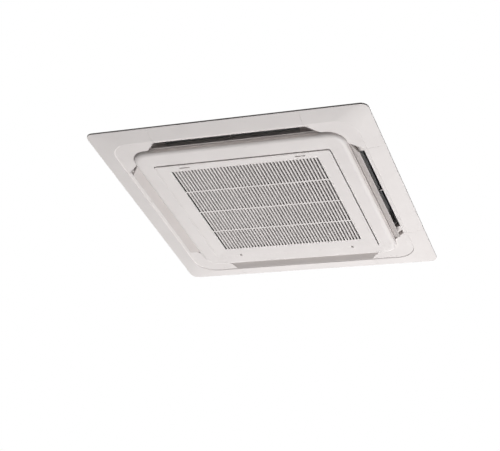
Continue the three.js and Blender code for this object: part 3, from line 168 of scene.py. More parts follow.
def makeFloor(settings):
    reach = settings["reach"]
    corners = [(-reach, -reach, 0), (reach, -reach, 0), (reach, reach, 0), (-reach, reach, 0)]
    mesh = bpy.data.meshes.new("floor")
    mesh.from_pydata(corners, [], [(0, 1, 2, 3)])
    obj = bpy.data.objects.new("floor", mesh)
    obj.location.z = settings["level"]
    scene.collection.objects.link(obj)
    material, tree, surface = blankMaterial("paleFloor")
    diffuse = tree.nodes.new("ShaderNodeBsdfDiffuse")
    diffuse.inputs["Color"].default_value = (*settings["tone"], 1)
    glow = tree.nodes.new("ShaderNodeEmission")
    glow.inputs["Color"].default_value = white
    # wholly white far out, so that no edge shows against the background
    place = tree.nodes.new("ShaderNodeTexCoord").outputs["Object"]
    distance = tree.nodes.new("ShaderNodeVectorMath")
    distance.operation = "LENGTH"
    tree.links.new(place, distance.inputs[0])
    fade = tree.nodes.new("ShaderNodeMapRange")
    fade.inputs["From Min"].default_value, fade.inputs["From Max"].default_value = settings["fade"]
    fade.inputs["To Min"].default_value = settings["whiteShare"]
    fade.inputs["To Max"].default_value = 1
    tree.links.new(distance.outputs["Value"], fade.inputs["Value"])
    share = tree.nodes.new("ShaderNodeMath")
    share.operation = "MULTIPLY"
    tree.links.new(viewerShare(tree), share.inputs[0])
    tree.links.new(fade.outputs[0], share.inputs[1])
    tree.links.new(mixShaders(tree, share.outputs[0], diffuse, glow), surface)
    mesh.materials.append(material)


ceilingSettings = {"level": 0.0004, "opening": 0.452, "reach": 14}


def makeCeiling(settings):
    # the white ceiling that the unit is sunk in, seen from the room only; from above it is clear
    near, far, z = settings["opening"], settings["reach"], settings["level"]
    corners = ((-1, -1), (1, -1), (1, 1), (-1, 1))
    points = [(x * size, y * size, z) for size in (near, far) for x, y in corners]
    faces = [(i, i + 4, (i + 1) % 4 + 4, (i + 1) % 4) for i in range(4)]
    mesh = bpy.data.meshes.new("ceiling")
    mesh.from_pydata(points, [], faces)
    obj = bpy.data.objects.new("ceiling", mesh)
    scene.collection.objects.link(obj)
    for ray in ("diffuse", "glossy", "transmission", "shadow"):
        setattr(obj, "visible_" + ray, False)
    if mesh.polygons[0].normal.z > 0:
        mesh.flip_normals()
    material, tree, surface = blankMaterial("whiteCeiling")
    glow = tree.nodes.new("ShaderNodeEmission")
    glow.inputs["Color"].default_value = white
    clear = tree.nodes.new("ShaderNodeBsdfTransparent")
    side = tree.nodes.new("ShaderNodeNewGeometry")
    tree.links.new(mixShaders(tree, side.outputs["Backfacing"], glow, clear), surface)
    mesh.materials.append(material)


makeLamps()
makeWorld(worldSettings)
makeFloor(floorSettings)
makeCeiling(ceilingSettings)
print("camera, lamps and floor placed")

# finishes: two close tones mixed by noise or spangles, which also set the roughness; grain or beads as bump
finishes = {
    "whiteMoulding": {
        "slot": "white_moulding", "tones": ((0.815, 0.772, 0.757), (0.788, 0.745, 0.730)),
        "roughness": (0.40, 0.50), "scale": 9, "grain": 900, "bump": 0.05, "specular": 0.3},
    # painted shade: the vanes are the panel's white moulding, its tones made darker to stand in for the shade
    # on them
    "vaneMoulding": {
        "slot": "white_moulding", "tones": ((0.625, 0.580, 0.562), (0.600, 0.556, 0.538)),
        "roughness": (0.44, 0.54), "scale": 9, "grain": 900, "bump": 0.05, "specular": 0.3},
    "greyMoulding": {
        "slot": "grey_moulding", "tones": ((0.150, 0.126, 0.122), (0.120, 0.100, 0.097)),
        "roughness": (0.5, 0.64), "scale": 14, "grain": 700, "bump": 0.08},
    "netThread": {
        "slot": "black_moulding", "tones": ((0.060, 0.040, 0.038), (0.045, 0.030, 0.029)),
        "roughness": (0.7, 0.85), "scale": 40, "grain": 700, "bump": 0.08, "specular": 0.15},
    "blackMoulding": {
        "slot": "black_moulding", "tones": ((0.032, 0.029, 0.029), (0.021, 0.019, 0.019)),
        "roughness": (0.5, 0.65), "scale": 14, "grain": 700, "bump": 0.08, "specular": 0.25},
    "darkFoam": {
        "slot": "dark_foam", "tones": ((0.05, 0.05, 0.052), (0.03, 0.03, 0.032)),
        "roughness": (0.9, 1.0), "scale": 90, "grain": 420, "bump": 0.6},
    "whiteFoam": {
        "slot": "white_foam", "tones": ((0.82, 0.82, 0.82), (0.72, 0.72, 0.725)),
        "roughness": (0.8, 0.92), "scale": 40, "beads": 260, "bump": 0.35},
    "steel": {
        "slot": "galvanised_steel", "tones": ((0.62, 0.635, 0.65), (0.555, 0.57, 0.585)),
        "roughness": (0.34, 0.46), "spangle": 130, "grain": 300, "bump": 0.03, "metallic": 0.85},
    "aluminium": {
        "slot": "fin_aluminium", "tones": ((0.78, 0.79, 0.80), (0.66, 0.67, 0.69)),
        "roughness": (0.3, 0.45), "scale": 25, "grain": 500, "bump": 0.04, "metallic": 0.9},
    "copper": {
        "slot": "copper", "tones": ((0.74, 0.36, 0.20), (0.58, 0.25, 0.13)),
        "roughness": (0.24, 0.42), "scale": 30, "grain": 420, "bump": 0.04, "metallic": 0.95},
    "brass": {
        "slot": "brass", "tones": ((0.72, 0.55, 0.26), (0.58, 0.42, 0.18)),
        "roughness": (0.26, 0.4), "scale": 60, "grain": 500, "bump": 0.04, "metallic": 0.95},
    "rubber": {
        "slot": "rubber", "tones": ((0.022, 0.022, 0.022), (0.014, 0.014, 0.014)),
        "roughness": (0.75, 0.9), "scale": 60, "grain": 500, "bump": 0.15},
    "board": {
        "slot": "circuit_board", "tones": ((0.03, 0.13, 0.05), (0.02, 0.09, 0.035)),
        "roughness": (0.35, 0.5), "scale": 200, "grain": 900, "bump": 0.05},
}
texture = {"cloudDetail": 4, "grainDetail": 2, "grainDepth": 0.0006, "darkEnd": 0.35, "lightEnd": 0.65}


def noiseNode(tree, place, scale, detail):
    noise = tree.nodes.new("ShaderNodeTexNoise")
    noise.inputs["Scale"].default_value = scale
    noise.inputs["Detail"].default_value = detail
    tree.links.new(place, noise.inputs["Vector"])
    return noise.outputs["Fac"]


def cellNode(tree, place, scale, output, feature="F1"):
    cells = tree.nodes.new("ShaderNodeTexVoronoi")
    cells.feature = feature
    cells.inputs["Scale"].default_value = scale
    tree.links.new(place, cells.inputs["Vector"])
    return cells.outputs[output]


def makeFinish(name, settings):
    material, tree, surface = blankMaterial(name)
    shader = tree.nodes.new("ShaderNodeBsdfPrincipled")
    shader.inputs["Metallic"].default_value = settings.get("metallic", 0)
    shader.inputs["Specular IOR Level"].default_value = settings.get("specular", 0.5)
    tree.links.new(shader.outputs[0], surface)
    place = tree.nodes.new("ShaderNodeTexCoord").outputs["Object"]
    if "spangle" in settings:
        split = tree.nodes.new("ShaderNodeSeparateColor")
        tree.links.new(cellNode(tree, place, settings["spangle"], "Color"), split.inputs[0])
        spread = split.outputs[0]
    else:
        spread = noiseNode(tree, place, settings["scale"], texture["cloudDetail"])
    tone = tree.nodes.new("ShaderNodeValToRGB")
    light, dark = settings["tones"]
    tone.color_ramp.elements[0].position = texture["darkEnd"]
    tone.color_ramp.elements[0].color = (*dark, 1)
    tone.color_ramp.elements[1].position = texture["lightEnd"]
    tone.color_ramp.elements[1].color = (*light, 1)
    tree.links.new(spread, tone.inputs[0])
    tree.links.new(tone.outputs[0], shader.inputs["Base Color"])
    rough = tree.nodes.new("ShaderNodeMapRange")
    rough.inputs["To Min"].default_value, rough.inputs["To Max"].default_value = settings["roughness"]
    tree.links.new(spread, rough.inputs["Value"])
    tree.links.new(rough.outputs[0], shader.inputs["Roughness"])
    if "beads" in settings:
        height = cellNode(tree, place, settings["beads"], "Distance", "DISTANCE_TO_EDGE")
    else:
        height = noiseNode(tree, place, settings["grain"], texture["grainDetail"])
    bump = tree.nodes.new("ShaderNodeBump")
    bump.inputs["Strength"].default_value = settings["bump"]
    bump.inputs["Distance"].default_value = texture["grainDepth"]
    tree.links.new(height, bump.inputs["Height"])
    tree.links.new(bump.outputs[0], shader.inputs["Normal"])
    return material


materials = {name: makeFinish(name, settings) for name, settings in finishes.items()}
print("finishes made:", len(materials))


# ways of making and finishing a mesh, in millimetres

def makeObject(name, points, faces):
    mesh = bpy.data.meshes.new(name)
    mesh.from_pydata([(x * mm, y * mm, z * mm) for x, y, z in points], [], faces)
    obj = bpy.data.objects.new(name, mesh)
    scene.collection.objects.link(obj)
    faceOut(obj)
    return obj


def faceOut(obj):
    work = bmesh.new()
    work.from_mesh(obj.data)
    bmesh.ops.remove_doubles(work, verts=work.verts, dist=1e-6)
    bmesh.ops.recalc_face_normals(work, faces=work.faces)
    if work.calc_volume(signed=True) < 0:
        bmesh.ops.reverse_faces(work, faces=work.faces)
    work.to_mesh(obj.data)
    work.free()


def settle(obj, spent=()):
    # the result of the modifiers becomes the mesh
    bpy.context.view_layer.update()
    graph = bpy.context.evaluated_depsgraph_get()
    mesh = bpy.data.meshes.new_from_object(obj.evaluated_get(graph), depsgraph=graph)
    obj.modifiers.clear()
    obj.data = mesh
    mesh.name = obj.name
    for other in spent:
        bpy.data.objects.remove(other)
    return obj


def combine(obj, others, operation):
    for other in others:
        step = obj.modifiers.new("combine", "BOOLEAN")
        step.operation = operation
        step.solver = "MANIFOLD"
        step.object = other
    return settle(obj, others)


def cut(obj, *others):
    return combine(obj, others, "DIFFERENCE")


def join(obj, *others):
    return combine(obj, others, "UNION")


def overlapOf(obj, *others):
    return combine(obj, others, "INTERSECT")


def onSide(obj, side):
    obj.data.transform(Matrix.Rotation(side * math.pi / 2, 4, "Z"))
    return obj


def moved(obj, x, y, z):
    obj.data.transform(Matrix.Translation((x * mm, y * mm, z * mm)))
    return obj


def laid(obj, degrees, axis, x, y, z):
    # turned about an axis through the origin, then moved
    turn = Matrix.Rotation(math.radians(degrees), 4, axis)
    obj.data.transform(Matrix.Translation(Vector((x, y, z)) * mm) @ turn)
    return obj


def dress(obj, finish, body, nodes, angle=32, soft=0):
    # soft edges, shading, finish, and the body and solids that the piece goes with
    if soft:
        rounder = obj.modifiers.new("edges", "BEVEL")
        rounder.width = soft * mm
        rounder.segments = 2
        rounder.limit_method = "ANGLE"
        rounder.angle_limit = math.radians(angle)
        rounder.miter_outer = "MITER_ARC"
        settle(obj)
    obj.data.materials.clear()
    obj.data.materials.append(materials[finish])
    obj.data.polygons.foreach_set("use_smooth", [True] * len(obj.data.polygons))
    obj.data.set_sharp_from_angle(angle=math.radians(angle))
    weight = obj.modifiers.new("shade", "WEIGHTED_NORMAL")
    weight.keep_sharp = True
    settle(obj)
    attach(obj, body)
    if nodes:
        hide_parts(*nodes)
    return obj


def softened(profile, steps=4):
    # a closed line of points, each with how far its corner is rounded as its last value
    result = []
    count = len(profile)
    for i, point in enumerate(profile):
        here, bend = point[:-1], point[-1]
        if not bend:
            result.append(here)
            continue
        ends = []
        for other in (profile[i - 1][:-1], profile[(i + 1) % count][:-1]):
            share = min(bend / max(math.dist(here, other), 1e-6), 0.48)
            ends.append([h + (o - h) * share for h, o in zip(here, other)])
        for k in range(steps + 1):
            t = k / steps
            blend = [a * (1 - t) ** 2 + h * 2 * t * (1 - t) + b * t * t
                     for a, h, b in zip(ends[0], here, ends[1])]
            result.append(tuple(blend))
    return result


def roundedLoop(x0, y0, x1, y1, radius, z, steps):
    r = max(radius, 0.05)
    loop = []
    centres = [(x1 - r, y1 - r), (x0 + r, y1 - r), (x0 + r, y0 + r), (x1 - r, y0 + r)]
    for quarter, (cx, cy) in enumerate(centres):
        for i in range(steps + 1):
            angle = (quarter + i / steps) * math.pi / 2
            loop.append((cx + r * math.cos(angle), cy + r * math.sin(angle), z))
    return loop


def ringLoft(name, loops):
    # a ring whose skin runs through the given loops and back to the first
    count = len(loops[0])
    faces = []
    for s in range(len(loops)):
        following = (s + 1) % len(loops)
        for i in range(count):
            j = (i + 1) % count
            faces.append((s * count + i, s * count + j, following * count + j, following * count + i))
    return makeObject(name, [point for loop in loops for point in loop], faces)


def frameLoft(name, sections, steps=16):
    # a frame whose cross-section runs through the given rounded rectangles
    return ringLoft(name, [roundedLoop(*section, steps) for section in sections])


def square(half, radius, z):
    return (-half, -half, half, half, radius, z)


def stack(name, loops):
    # a closed block whose outline runs through the given loops, from one end to the other
    count = len(loops[0])
    faces = [tuple(range(count - 1, -1, -1)), tuple(range((len(loops) - 1) * count, len(loops) * count))]
    for s in range(len(loops) - 1):
        for i in range(count):
            j = (i + 1) % count
            faces.append((s * count + i, s * count + j, (s + 1) * count + j, (s + 1) * count + i))
    return makeObject(name, [point for loop in loops for point in loop], faces)


def prism(name, outline, z0, z1):
    return stack(name, [[(x, y, z) for x, y in outline] for z in (z0, z1)])


def block(name, x0, y0, z0, x1, y1, z1):
    return prism(name, [(x0, y0), (x1, y0), (x1, y1), (x0, y1)], z0, z1)


def rounded(name, x0, y0, x1, y1, radius, z0, z1, steps=8):
    return stack(name, [roundedLoop(x0, y0, x1, y1, radius, z, steps) for z in (z0, z1)])


def turned(name, profile, steps=72):
    # a closed profile of (radius, height) turned round the Z axis
    points, faces, rings = [], [], []
    for r, z in profile:
        if r < 1e-6:
            rings.append([len(points)] * steps)
            points.append((0, 0, z))
            continue
        rings.append([len(points) + k for k in range(steps)])
        for k in range(steps):
            angle = 2 * math.pi * k / steps
            points.append((r * math.cos(angle), r * math.sin(angle), z))
    closed = profile[0][0] > 1e-6 and profile[-1][0] > 1e-6
    last = len(rings) if closed else len(rings) - 1
    for s in range(last):
        a, b = rings[s], rings[(s + 1) % len(rings)]
        for k in range(steps):
            m = (k + 1) % steps
            face = []
            for corner in (a[k], a[m], b[m], b[k]):
                if corner not in face:
                    face.append(corner)
            if len(face) > 2:
                faces.append(tuple(face))
    return makeObject(name, points, faces)


def rod(name, start, end, radius, steps=24, ease=0):
    # a round bar between two points, its ends eased
    line = Vector(end) - Vector(start)
    length = line.length
    profile = [(0, 0), (radius, 0), (radius, length), (0, length)]
    if ease:
        profile[1:3] = [(radius - ease, 0), (radius, ease), (radius, length - ease), (radius - ease, length)]
    obj = turned(name, profile, steps)
    turn = line.to_track_quat("Z", "Y").to_matrix().to_4x4()
    obj.data.transform(Matrix.Translation(Vector(start) * mm) @ turn)
    return obj


def rodX(name, x0, x1, y, z, radius, steps=24, ease=0.3):
    return rod(name, (x0, y, z), (x1, y, z), radius, steps, ease)


def merged(name, pieces):
    # loose parts of one moulding in one mesh
    work = bmesh.new()
    for piece in pieces:
        work.from_mesh(piece.data)
        bpy.data.objects.remove(piece)
    mesh = bpy.data.meshes.new(name)
    work.to_mesh(mesh)
    work.free()
    obj = bpy.data.objects.new(name, mesh)
    scene.collection.objects.link(obj)
    return obj


# repeats: a tree that sets one piece on a grid, on given points, or round a circle

def openTree(name, inputs):
    tree = bpy.data.node_groups.new(name, "GeometryNodeTree")
    tree.interface.new_socket("Geometry", in_out="INPUT", socket_type="NodeSocketGeometry")
    tree.interface.new_socket("Geometry", in_out="OUTPUT", socket_type="NodeSocketGeometry")
    for label, kind in inputs:
        tree.interface.new_socket(label, in_out="INPUT", socket_type="NodeSocket" + kind)
    return tree, tree.nodes.new("NodeGroupInput"), tree.nodes.new("NodeGroupOutput")


def closeTree(tree, given, result, instances):
    real = tree.nodes.new("GeometryNodeRealizeInstances")
    paint = tree.nodes.new("GeometryNodeSetMaterial")
    tree.links.new(instances, real.inputs[0])
    tree.links.new(real.outputs[0], paint.inputs["Geometry"])
    tree.links.new(given.outputs["Finish"], paint.inputs["Material"])
    tree.links.new(paint.outputs[0], result.inputs[0])
    return tree


def pieceOf(tree, given):
    info = tree.nodes.new("GeometryNodeObjectInfo")
    tree.links.new(given.outputs["Piece"], info.inputs["Object"])
    return info.outputs["Geometry"]


def makeGridTree():
    tree, given, result = openTree("repeatOnGrid", [
        ("Piece", "Object"), ("Finish", "Material"), ("Columns", "Int"), ("Rows", "Int"),
        ("Width", "Float"), ("Depth", "Float"), ("Centre", "Vector")])
    grid = tree.nodes.new("GeometryNodeMeshGrid")
    pairs = (("Columns", "Vertices X"), ("Rows", "Vertices Y"), ("Width", "Size X"), ("Depth", "Size Y"))
    for label, socket in pairs:
        tree.links.new(given.outputs[label], grid.inputs[socket])
    shift = tree.nodes.new("GeometryNodeSetPosition")
    tree.links.new(grid.outputs["Mesh"], shift.inputs["Geometry"])
    tree.links.new(given.outputs["Centre"], shift.inputs["Offset"])
    put = tree.nodes.new("GeometryNodeInstanceOnPoints")
    tree.links.new(shift.outputs[0], put.inputs["Points"])
    tree.links.new(pieceOf(tree, given), put.inputs["Instance"])
    return closeTree(tree, given, result, put.outputs[0])


def makePointTree(name, aligned):
    # one piece on every point of the mesh, its Z axis along the point's "facing", or turned by it
    tree, given, result = openTree(name, [("Piece", "Object"), ("Finish", "Material"), ("Size", "Float")])
    facing = tree.nodes.new("GeometryNodeInputNamedAttribute")
    facing.data_type = "FLOAT_VECTOR"
    facing.inputs["Name"].default_value = "facing"
    turn = tree.nodes.new("FunctionNodeAlignRotationToVector")
    turn.axis = "Z"
    tree.links.new(facing.outputs["Attribute"], turn.inputs["Vector"])
    put = tree.nodes.new("GeometryNodeInstanceOnPoints")
    tree.links.new(given.outputs["Geometry"], put.inputs["Points"])
    tree.links.new(pieceOf(tree, given), put.inputs["Instance"])
    tree.links.new(turn.outputs[0] if aligned else facing.outputs["Attribute"], put.inputs["Rotation"])
    tree.links.new(given.outputs["Size"], put.inputs["Scale"])
    return closeTree(tree, given, result, put.outputs[0])


def makeRingTree():
    tree, given, result = openTree("repeatRound", [
        ("Piece", "Object"), ("Finish", "Material"), ("Count", "Int"), ("Start", "Float"), ("Step", "Float")])
    line = tree.nodes.new("GeometryNodeMeshLine")
    tree.links.new(given.outputs["Count"], line.inputs["Count"])
    line.inputs["Offset"].default_value = (0, 0, 0)
    index = tree.nodes.new("GeometryNodeInputIndex")
    turn = tree.nodes.new("ShaderNodeMath")
    turn.operation = "MULTIPLY_ADD"
    tree.links.new(index.outputs[0], turn.inputs[0])
    tree.links.new(given.outputs["Step"], turn.inputs[1])
    tree.links.new(given.outputs["Start"], turn.inputs[2])
    spin = tree.nodes.new("ShaderNodeCombineXYZ")
    tree.links.new(turn.outputs[0], spin.inputs["Z"])
    put = tree.nodes.new("GeometryNodeInstanceOnPoints")
    tree.links.new(line.outputs[0], put.inputs["Points"])
    tree.links.new(pieceOf(tree, given), put.inputs["Instance"])
    tree.links.new(spin.outputs[0], put.inputs["Rotation"])
    return closeTree(tree, given, result, put.outputs[0])


gridTree, ringTree = makeGridTree(), makeRingTree()
pointTree, turnTree = makePointTree("repeatOnPoints", True), makePointTree("repeatTurned", False)


def repeat(name, tree, piece, finish, points=(), **values):
    # the piece set out by the tree, as one plain mesh
    mesh = bpy.data.meshes.new(name)
    mesh.from_pydata([Vector(place) * mm for place, facing in points], [], [])
    if points:
        facing = mesh.attributes.new("facing", "FLOAT_VECTOR", "POINT")
        facing.data.foreach_set("vector", [value for place, way in points for value in way])
    obj = bpy.data.objects.new(name, mesh)
    scene.collection.objects.link(obj)
    step = obj.modifiers.new("repeat", "NODES")
    step.node_group = tree
    values.update({"Piece": piece, "Finish": materials[finish]})
    for item in tree.interface.items_tree:
        if item.in_out == "INPUT" and item.name in values:
            step[item.identifier] = values[item.name]
    return settle(obj, [piece])


# the decoration panel: its skin from the rim to the platform, in one sweep
panel = {
    "half": 475, "cornerRadius": 25, "rimWidth": 5, "rimHeight": 5, "rimRound": 1.2, "wall": 2.5,
    "ringHalf": 417, "ringRadius": 72, "bandLevel": -15.5, "ringLevel": -13, "stepWidth": 1.5,
    "stepRound": 0.8,
    "outletOuter": 404, "outletInner": 364, "outletLong": 296, "outletShort": 256, "outletRound": 1.1,
    "ductWall": 2, "ductRise": 2, "ductFlange": 8, "ductHalf": 232, "ductEndPlate": 3.5, "ductLip": 8,
    "platformRadius": 57, "platformLevel": -26, "platformRound": 0.6, "edgeWidth": 16, "edgeHeight": 11,
    "edgeSteps": 14, "edgeStepsBehind": 6, "radiusShare": 0.6, "middleRadius": 20, "collar": 1.25,
    "openingX": 306.5, "openingNear": -292.5, "openingFar": 306.5, "openingRadius": 11.5,
    "openingRound": 1.2, "flangeTop": -12.5,
    "seamGap": 0.5, "seatThickness": 2.5, "seatRadius": 22, "seatLap": 6, "coverGap": 0.3, "coverRound": 0.35,
    "ribCount": 13, "ribReach": 240, "ribHalf": 0.8, "ribLevels": (-4.6, -12), "ribTop": -0.8, "crossRib": 3,
    "pivotD": 374.5, "pivotZ": -6.5, "pinHole": 2.3, "bushHole": 3.6, "bushHoleEnd": -200,
    "motorX": (291.9, 307.7), "motorZ": 0.5, "motorHole": 10.4,
    "hingeX": 210, "hingeY": 296, "hingeZ": -23.0, "earHalf": 3, "earLevels": (4, 10), "eye": 3.5,
    "bore": 1.9,
    "latchX": 200, "catch": (-23.5, -19.2), "catchHalf": 10,
}


def panelSkin(name):
    p = panel
    wallEnd = p["platformLevel"] + p["edgeHeight"]
    step, stepRadius = p["ringHalf"] - p["stepWidth"], p["ringRadius"] - p["stepWidth"]
    under = [
        (p["half"], p["cornerRadius"], 0, 0),
        (p["half"], p["cornerRadius"], -p["rimHeight"], p["rimRound"]),
        (p["ringHalf"], p["ringRadius"], p["bandLevel"], p["stepRound"]),
        (step, stepRadius, p["ringLevel"], p["stepRound"]),
        (p["outletInner"], p["platformRadius"], p["ringLevel"], p["platformRound"]),
    ]

    def edge(shrink, steps):
        # the platform's rounded edge, or the wall's other face where it is shrunk
        points = []
        for i in range(steps + 1):
            angle = i / steps * math.pi / 2
            inwards = (p["edgeWidth"] - shrink) * (1 - math.cos(angle)) + shrink
            down = (p["edgeHeight"] - shrink) * math.sin(angle)
            radius = p["platformRadius"] - inwards * p["radiusShare"]
            points.append((p["outletInner"] - inwards, radius, wallEnd - down, 0))
        return points

    middle = p["outletInner"] / 2
    flange, flangeRadius = p["outletInner"] - p["ductFlange"], p["platformRadius"] - p["ductFlange"]
    rim, rimRadius = p["half"] - p["rimWidth"], p["cornerRadius"] - p["rimWidth"]
    seatLevel = p["ductRise"] - p["wall"]
    over = [
        (middle, p["middleRadius"], p["platformLevel"], 0),
        (middle, p["middleRadius"], p["platformLevel"] + p["wall"], 0),
        *reversed(edge(p["wall"], p["edgeStepsBehind"])),
        (p["outletInner"] - p["wall"], p["platformRadius"] - p["wall"], seatLevel, 0),
        (flange, flangeRadius, seatLevel, 0),
        (flange, flangeRadius, p["ductRise"], 0),
        (p["outletInner"], p["platformRadius"], p["ductRise"], 0),
        (p["outletInner"], p["platformRadius"], p["ringLevel"] + p["wall"], 0),
        (step - 1, stepRadius - 1, p["ringLevel"] + p["wall"], 0),
        (p["ringHalf"], p["ringRadius"], p["bandLevel"] + p["wall"], 0),
        (rim, rimRadius, -p["rimHeight"] + p["wall"], 0),
        (rim, rimRadius, 0, 0),
    ]
    return frameLoft(name, [square(*point) for point in softened(under + edge(0, p["edgeSteps"]) + over)])


def outletOutline(grow):
    # an outlet seen on the near side: long side towards the centre, mitred ends
    p = panel
    inner, outer = -(p["outletInner"] - grow), -(p["outletOuter"] + grow)
    long = p["outletLong"] + grow * (1 + math.sqrt(2))
    short = p["outletShort"] + grow * (math.sqrt(2) - 1)
    return [(-short, outer), (short, outer), (long, inner), (-long, inner)]


def flaredPrism(name, outlineAt, z0, z1, edge, bend, steps=4):
    # a cutter whose outline widens in a small curve at the visible edge, so that it leaves a soft lip
    loops = [[(x, y, z0) for x, y in outlineAt(bend)]]
    for k in range(steps + 1):
        angle = k / steps * math.pi / 2
        grow = bend * (1 - math.sin(angle))
        loops.append([(x, y, edge + bend * (1 - math.cos(angle))) for x, y in outlineAt(grow)])
    loops.append([(x, y, z1) for x, y in outlineAt(0)])
    return stack(name, loops)


def cornerOutline(grow):
    # a corner cover's plan on the far right, from seam to seam and out past the rim
    p = panel
    bend = p["outletOuter"] + p["ductWall"] + p["seamGap"] - grow
    seam = p["outletShort"] + (p["ductWall"] + p["seamGap"]) * (math.sqrt(2) - 1) - grow
    reach = p["half"] + 10
    back = bend - seam
    return [(reach, seam), (bend, seam), (bend - back / 2, seam + back / 2),
            (seam + back / 2, bend - back / 2),
            (seam, bend), (seam, reach), (reach, reach)]


def openingLoop(grow, z, steps=8):
    p = panel
    return roundedLoop(-p["openingX"] - grow, p["openingNear"] - grow,
                       p["openingX"] + grow, p["openingFar"] + grow,
                       p["openingRadius"] + grow, z, steps)


def openingCutter(steps=4):
    # the way through for the grille, with a soft lip at the platform's face
    p = panel
    lip, level = p["openingRound"], p["platformLevel"]
    loops = [openingLoop(lip * 1.2, level - 4)]
    for k in range(steps + 1):
        angle = k / steps * math.pi / 2
        loops.append(openingLoop(lip * (1 - math.sin(angle)), level + lip * (1 - math.cos(angle))))
    loops.append(openingLoop(0, p["ductRise"] - p["wall"] - 0.5))
    return stack("opening", loops)


def openingFlange():
    p = panel
    return ringLoft("openingFlange", [
        openingLoop(p["wall"], p["platformLevel"] + 1), openingLoop(p["wall"], p["flangeTop"]),
        openingLoop(0, p["flangeTop"]), openingLoop(0, p["platformLevel"] + 1.3)])


def platformBlock(half, radius, z0, z1):
    # the platform's plan as a block, for keeping other cuts and walls off it
    return rounded("platformBlock", -half, -half, half, half, radius, z0, z1, 16)


def coverPlace():
    p = panel
    area = prism("coverArea", cornerOutline(p["seamGap"]), p["bandLevel"] - 5, -p["seatThickness"])
    keep = platformBlock(p["outletInner"], p["platformRadius"], p["bandLevel"] - 20, p["ductRise"] + 1)
    return cut(area, keep)


def coverSeat():
    # a thin plate that a corner cover lies against
    p = panel
    thickness = p["seatThickness"]
    outer, inner = p["half"] - p["rimWidth"] + 2, p["outletInner"] - 1
    seat = frameLoft("seat", [square(outer, p["seatRadius"], z) for z in (-thickness, 0)] + [
        square(inner, p["platformRadius"] - 1, z) for z in (0, -thickness)])
    return overlapOf(seat, prism("seatArea", cornerOutline(p["seamGap"] + p["seatLap"]), -thickness - 1, 1))


def ductFlange():
    p = panel
    top, foot = p["ductRise"], p["ductRise"] - p["wall"]
    outer, radius = p["outletOuter"] + p["ductFlange"], p["ringRadius"]
    return frameLoft("ductFlange", [square(outer, radius, z) for z in (foot, top)] + [
        square(p["outletOuter"], radius - p["ductFlange"], z) for z in (top, foot)])


def outletWalls():
    # standing walls round an outlet, closed at its ends and open to the duct between them
    p = panel
    foot, top, half = p["ringLevel"] - 1, p["ductRise"], p["ductHalf"]
    keep = p["outletInner"] - p["collar"]
    walls = prism("walls", outletOutline(p["ductWall"]), p["ringLevel"] + 0.4, top)
    return cut(walls, prism("inside", outletOutline(0), foot, top - p["ductEndPlate"]),
               block("duct", -half, -p["outletOuter"], foot, half, -p["outletInner"], top + 1),
               platformBlock(keep, p["platformRadius"], foot, top + 1))


def crossRib():
    # a rib across the middle of an outlet
    p = panel
    half, top = p["crossRib"] / 2, p["ductRise"]
    return block("rib", -half, -p["outletOuter"] - 1, top - p["ductEndPlate"],
                 half, -p["outletInner"] + 1.2, top)


def ductLips():
    # a standing edge on top of an outlet, round the way to the duct
    p = panel
    wall, half, foot, top = p["ductWall"], p["ductHalf"], p["ductRise"], p["ductRise"] + p["ductLip"]
    outer, inner = -p["outletOuter"], -p["outletInner"]
    return cut(block("lips", -half - wall, outer - wall, foot - 0.5, half + wall, inner + wall, top),
               block("through", -half, outer, foot - 1, half, inner, top + 1))


def vaneHoles():
    # the holes for a vane's pins and bush, and the pocket for its motor
    p = panel
    y, z, end = -p["pivotD"], p["pivotZ"], p["outletLong"]
    pin = rodX("pinHole", -end, end, y, z, p["pinHole"], ease=0)
    bush = rodX("bushHole", -end, p["bushHoleEnd"], y, z, p["bushHole"], ease=0)
    motor = rodX("motorHole", *p["motorX"], y, p["motorZ"], p["motorHole"], 40, 0)
    return join(pin, bush, motor)


def backRibs():
    # stiffening ribs on the hidden side, between the rim and the outlet
    p = panel
    outer, inner = -p["half"] + p["rimWidth"], -p["outletOuter"] - p["ductFlange"] - 1
    (outerLevel, innerLevel), top = p["ribLevels"], p["ribTop"]
    shape = [(outer, outerLevel), (inner, innerLevel), (inner, top), (outer, top)]
    rib = stack("backRib", [[(x, y, z) for y, z in shape] for x in (-p["ribHalf"], p["ribHalf"])])
    return repeat("backRibs", gridTree, rib, "whiteMoulding", Columns=p["ribCount"], Rows=1,
                  Width=2 * p["ribReach"] * mm)


def hingeEar():
    # an arm from the opening's far wall, with an eye for the grille's pin
    p = panel
    y, z, half = p["hingeY"], p["hingeZ"], p["earHalf"]
    wallY = p["openingFar"] + p["wall"] / 2
    low, high = z + p["earLevels"][0], z + p["earLevels"][1]
    shape = [(y - 1.5, z), (y + 1.5, z), (y + 3, low), (wallY, low), (wallY, high), (y, high), (y - 2, z + 5)]
    arm = stack("arm", [[(x, a, b) for a, b in shape] for x in (-half, half)])
    return join(arm, rodX("eye", -half, half, y, z, p["eye"], 32))


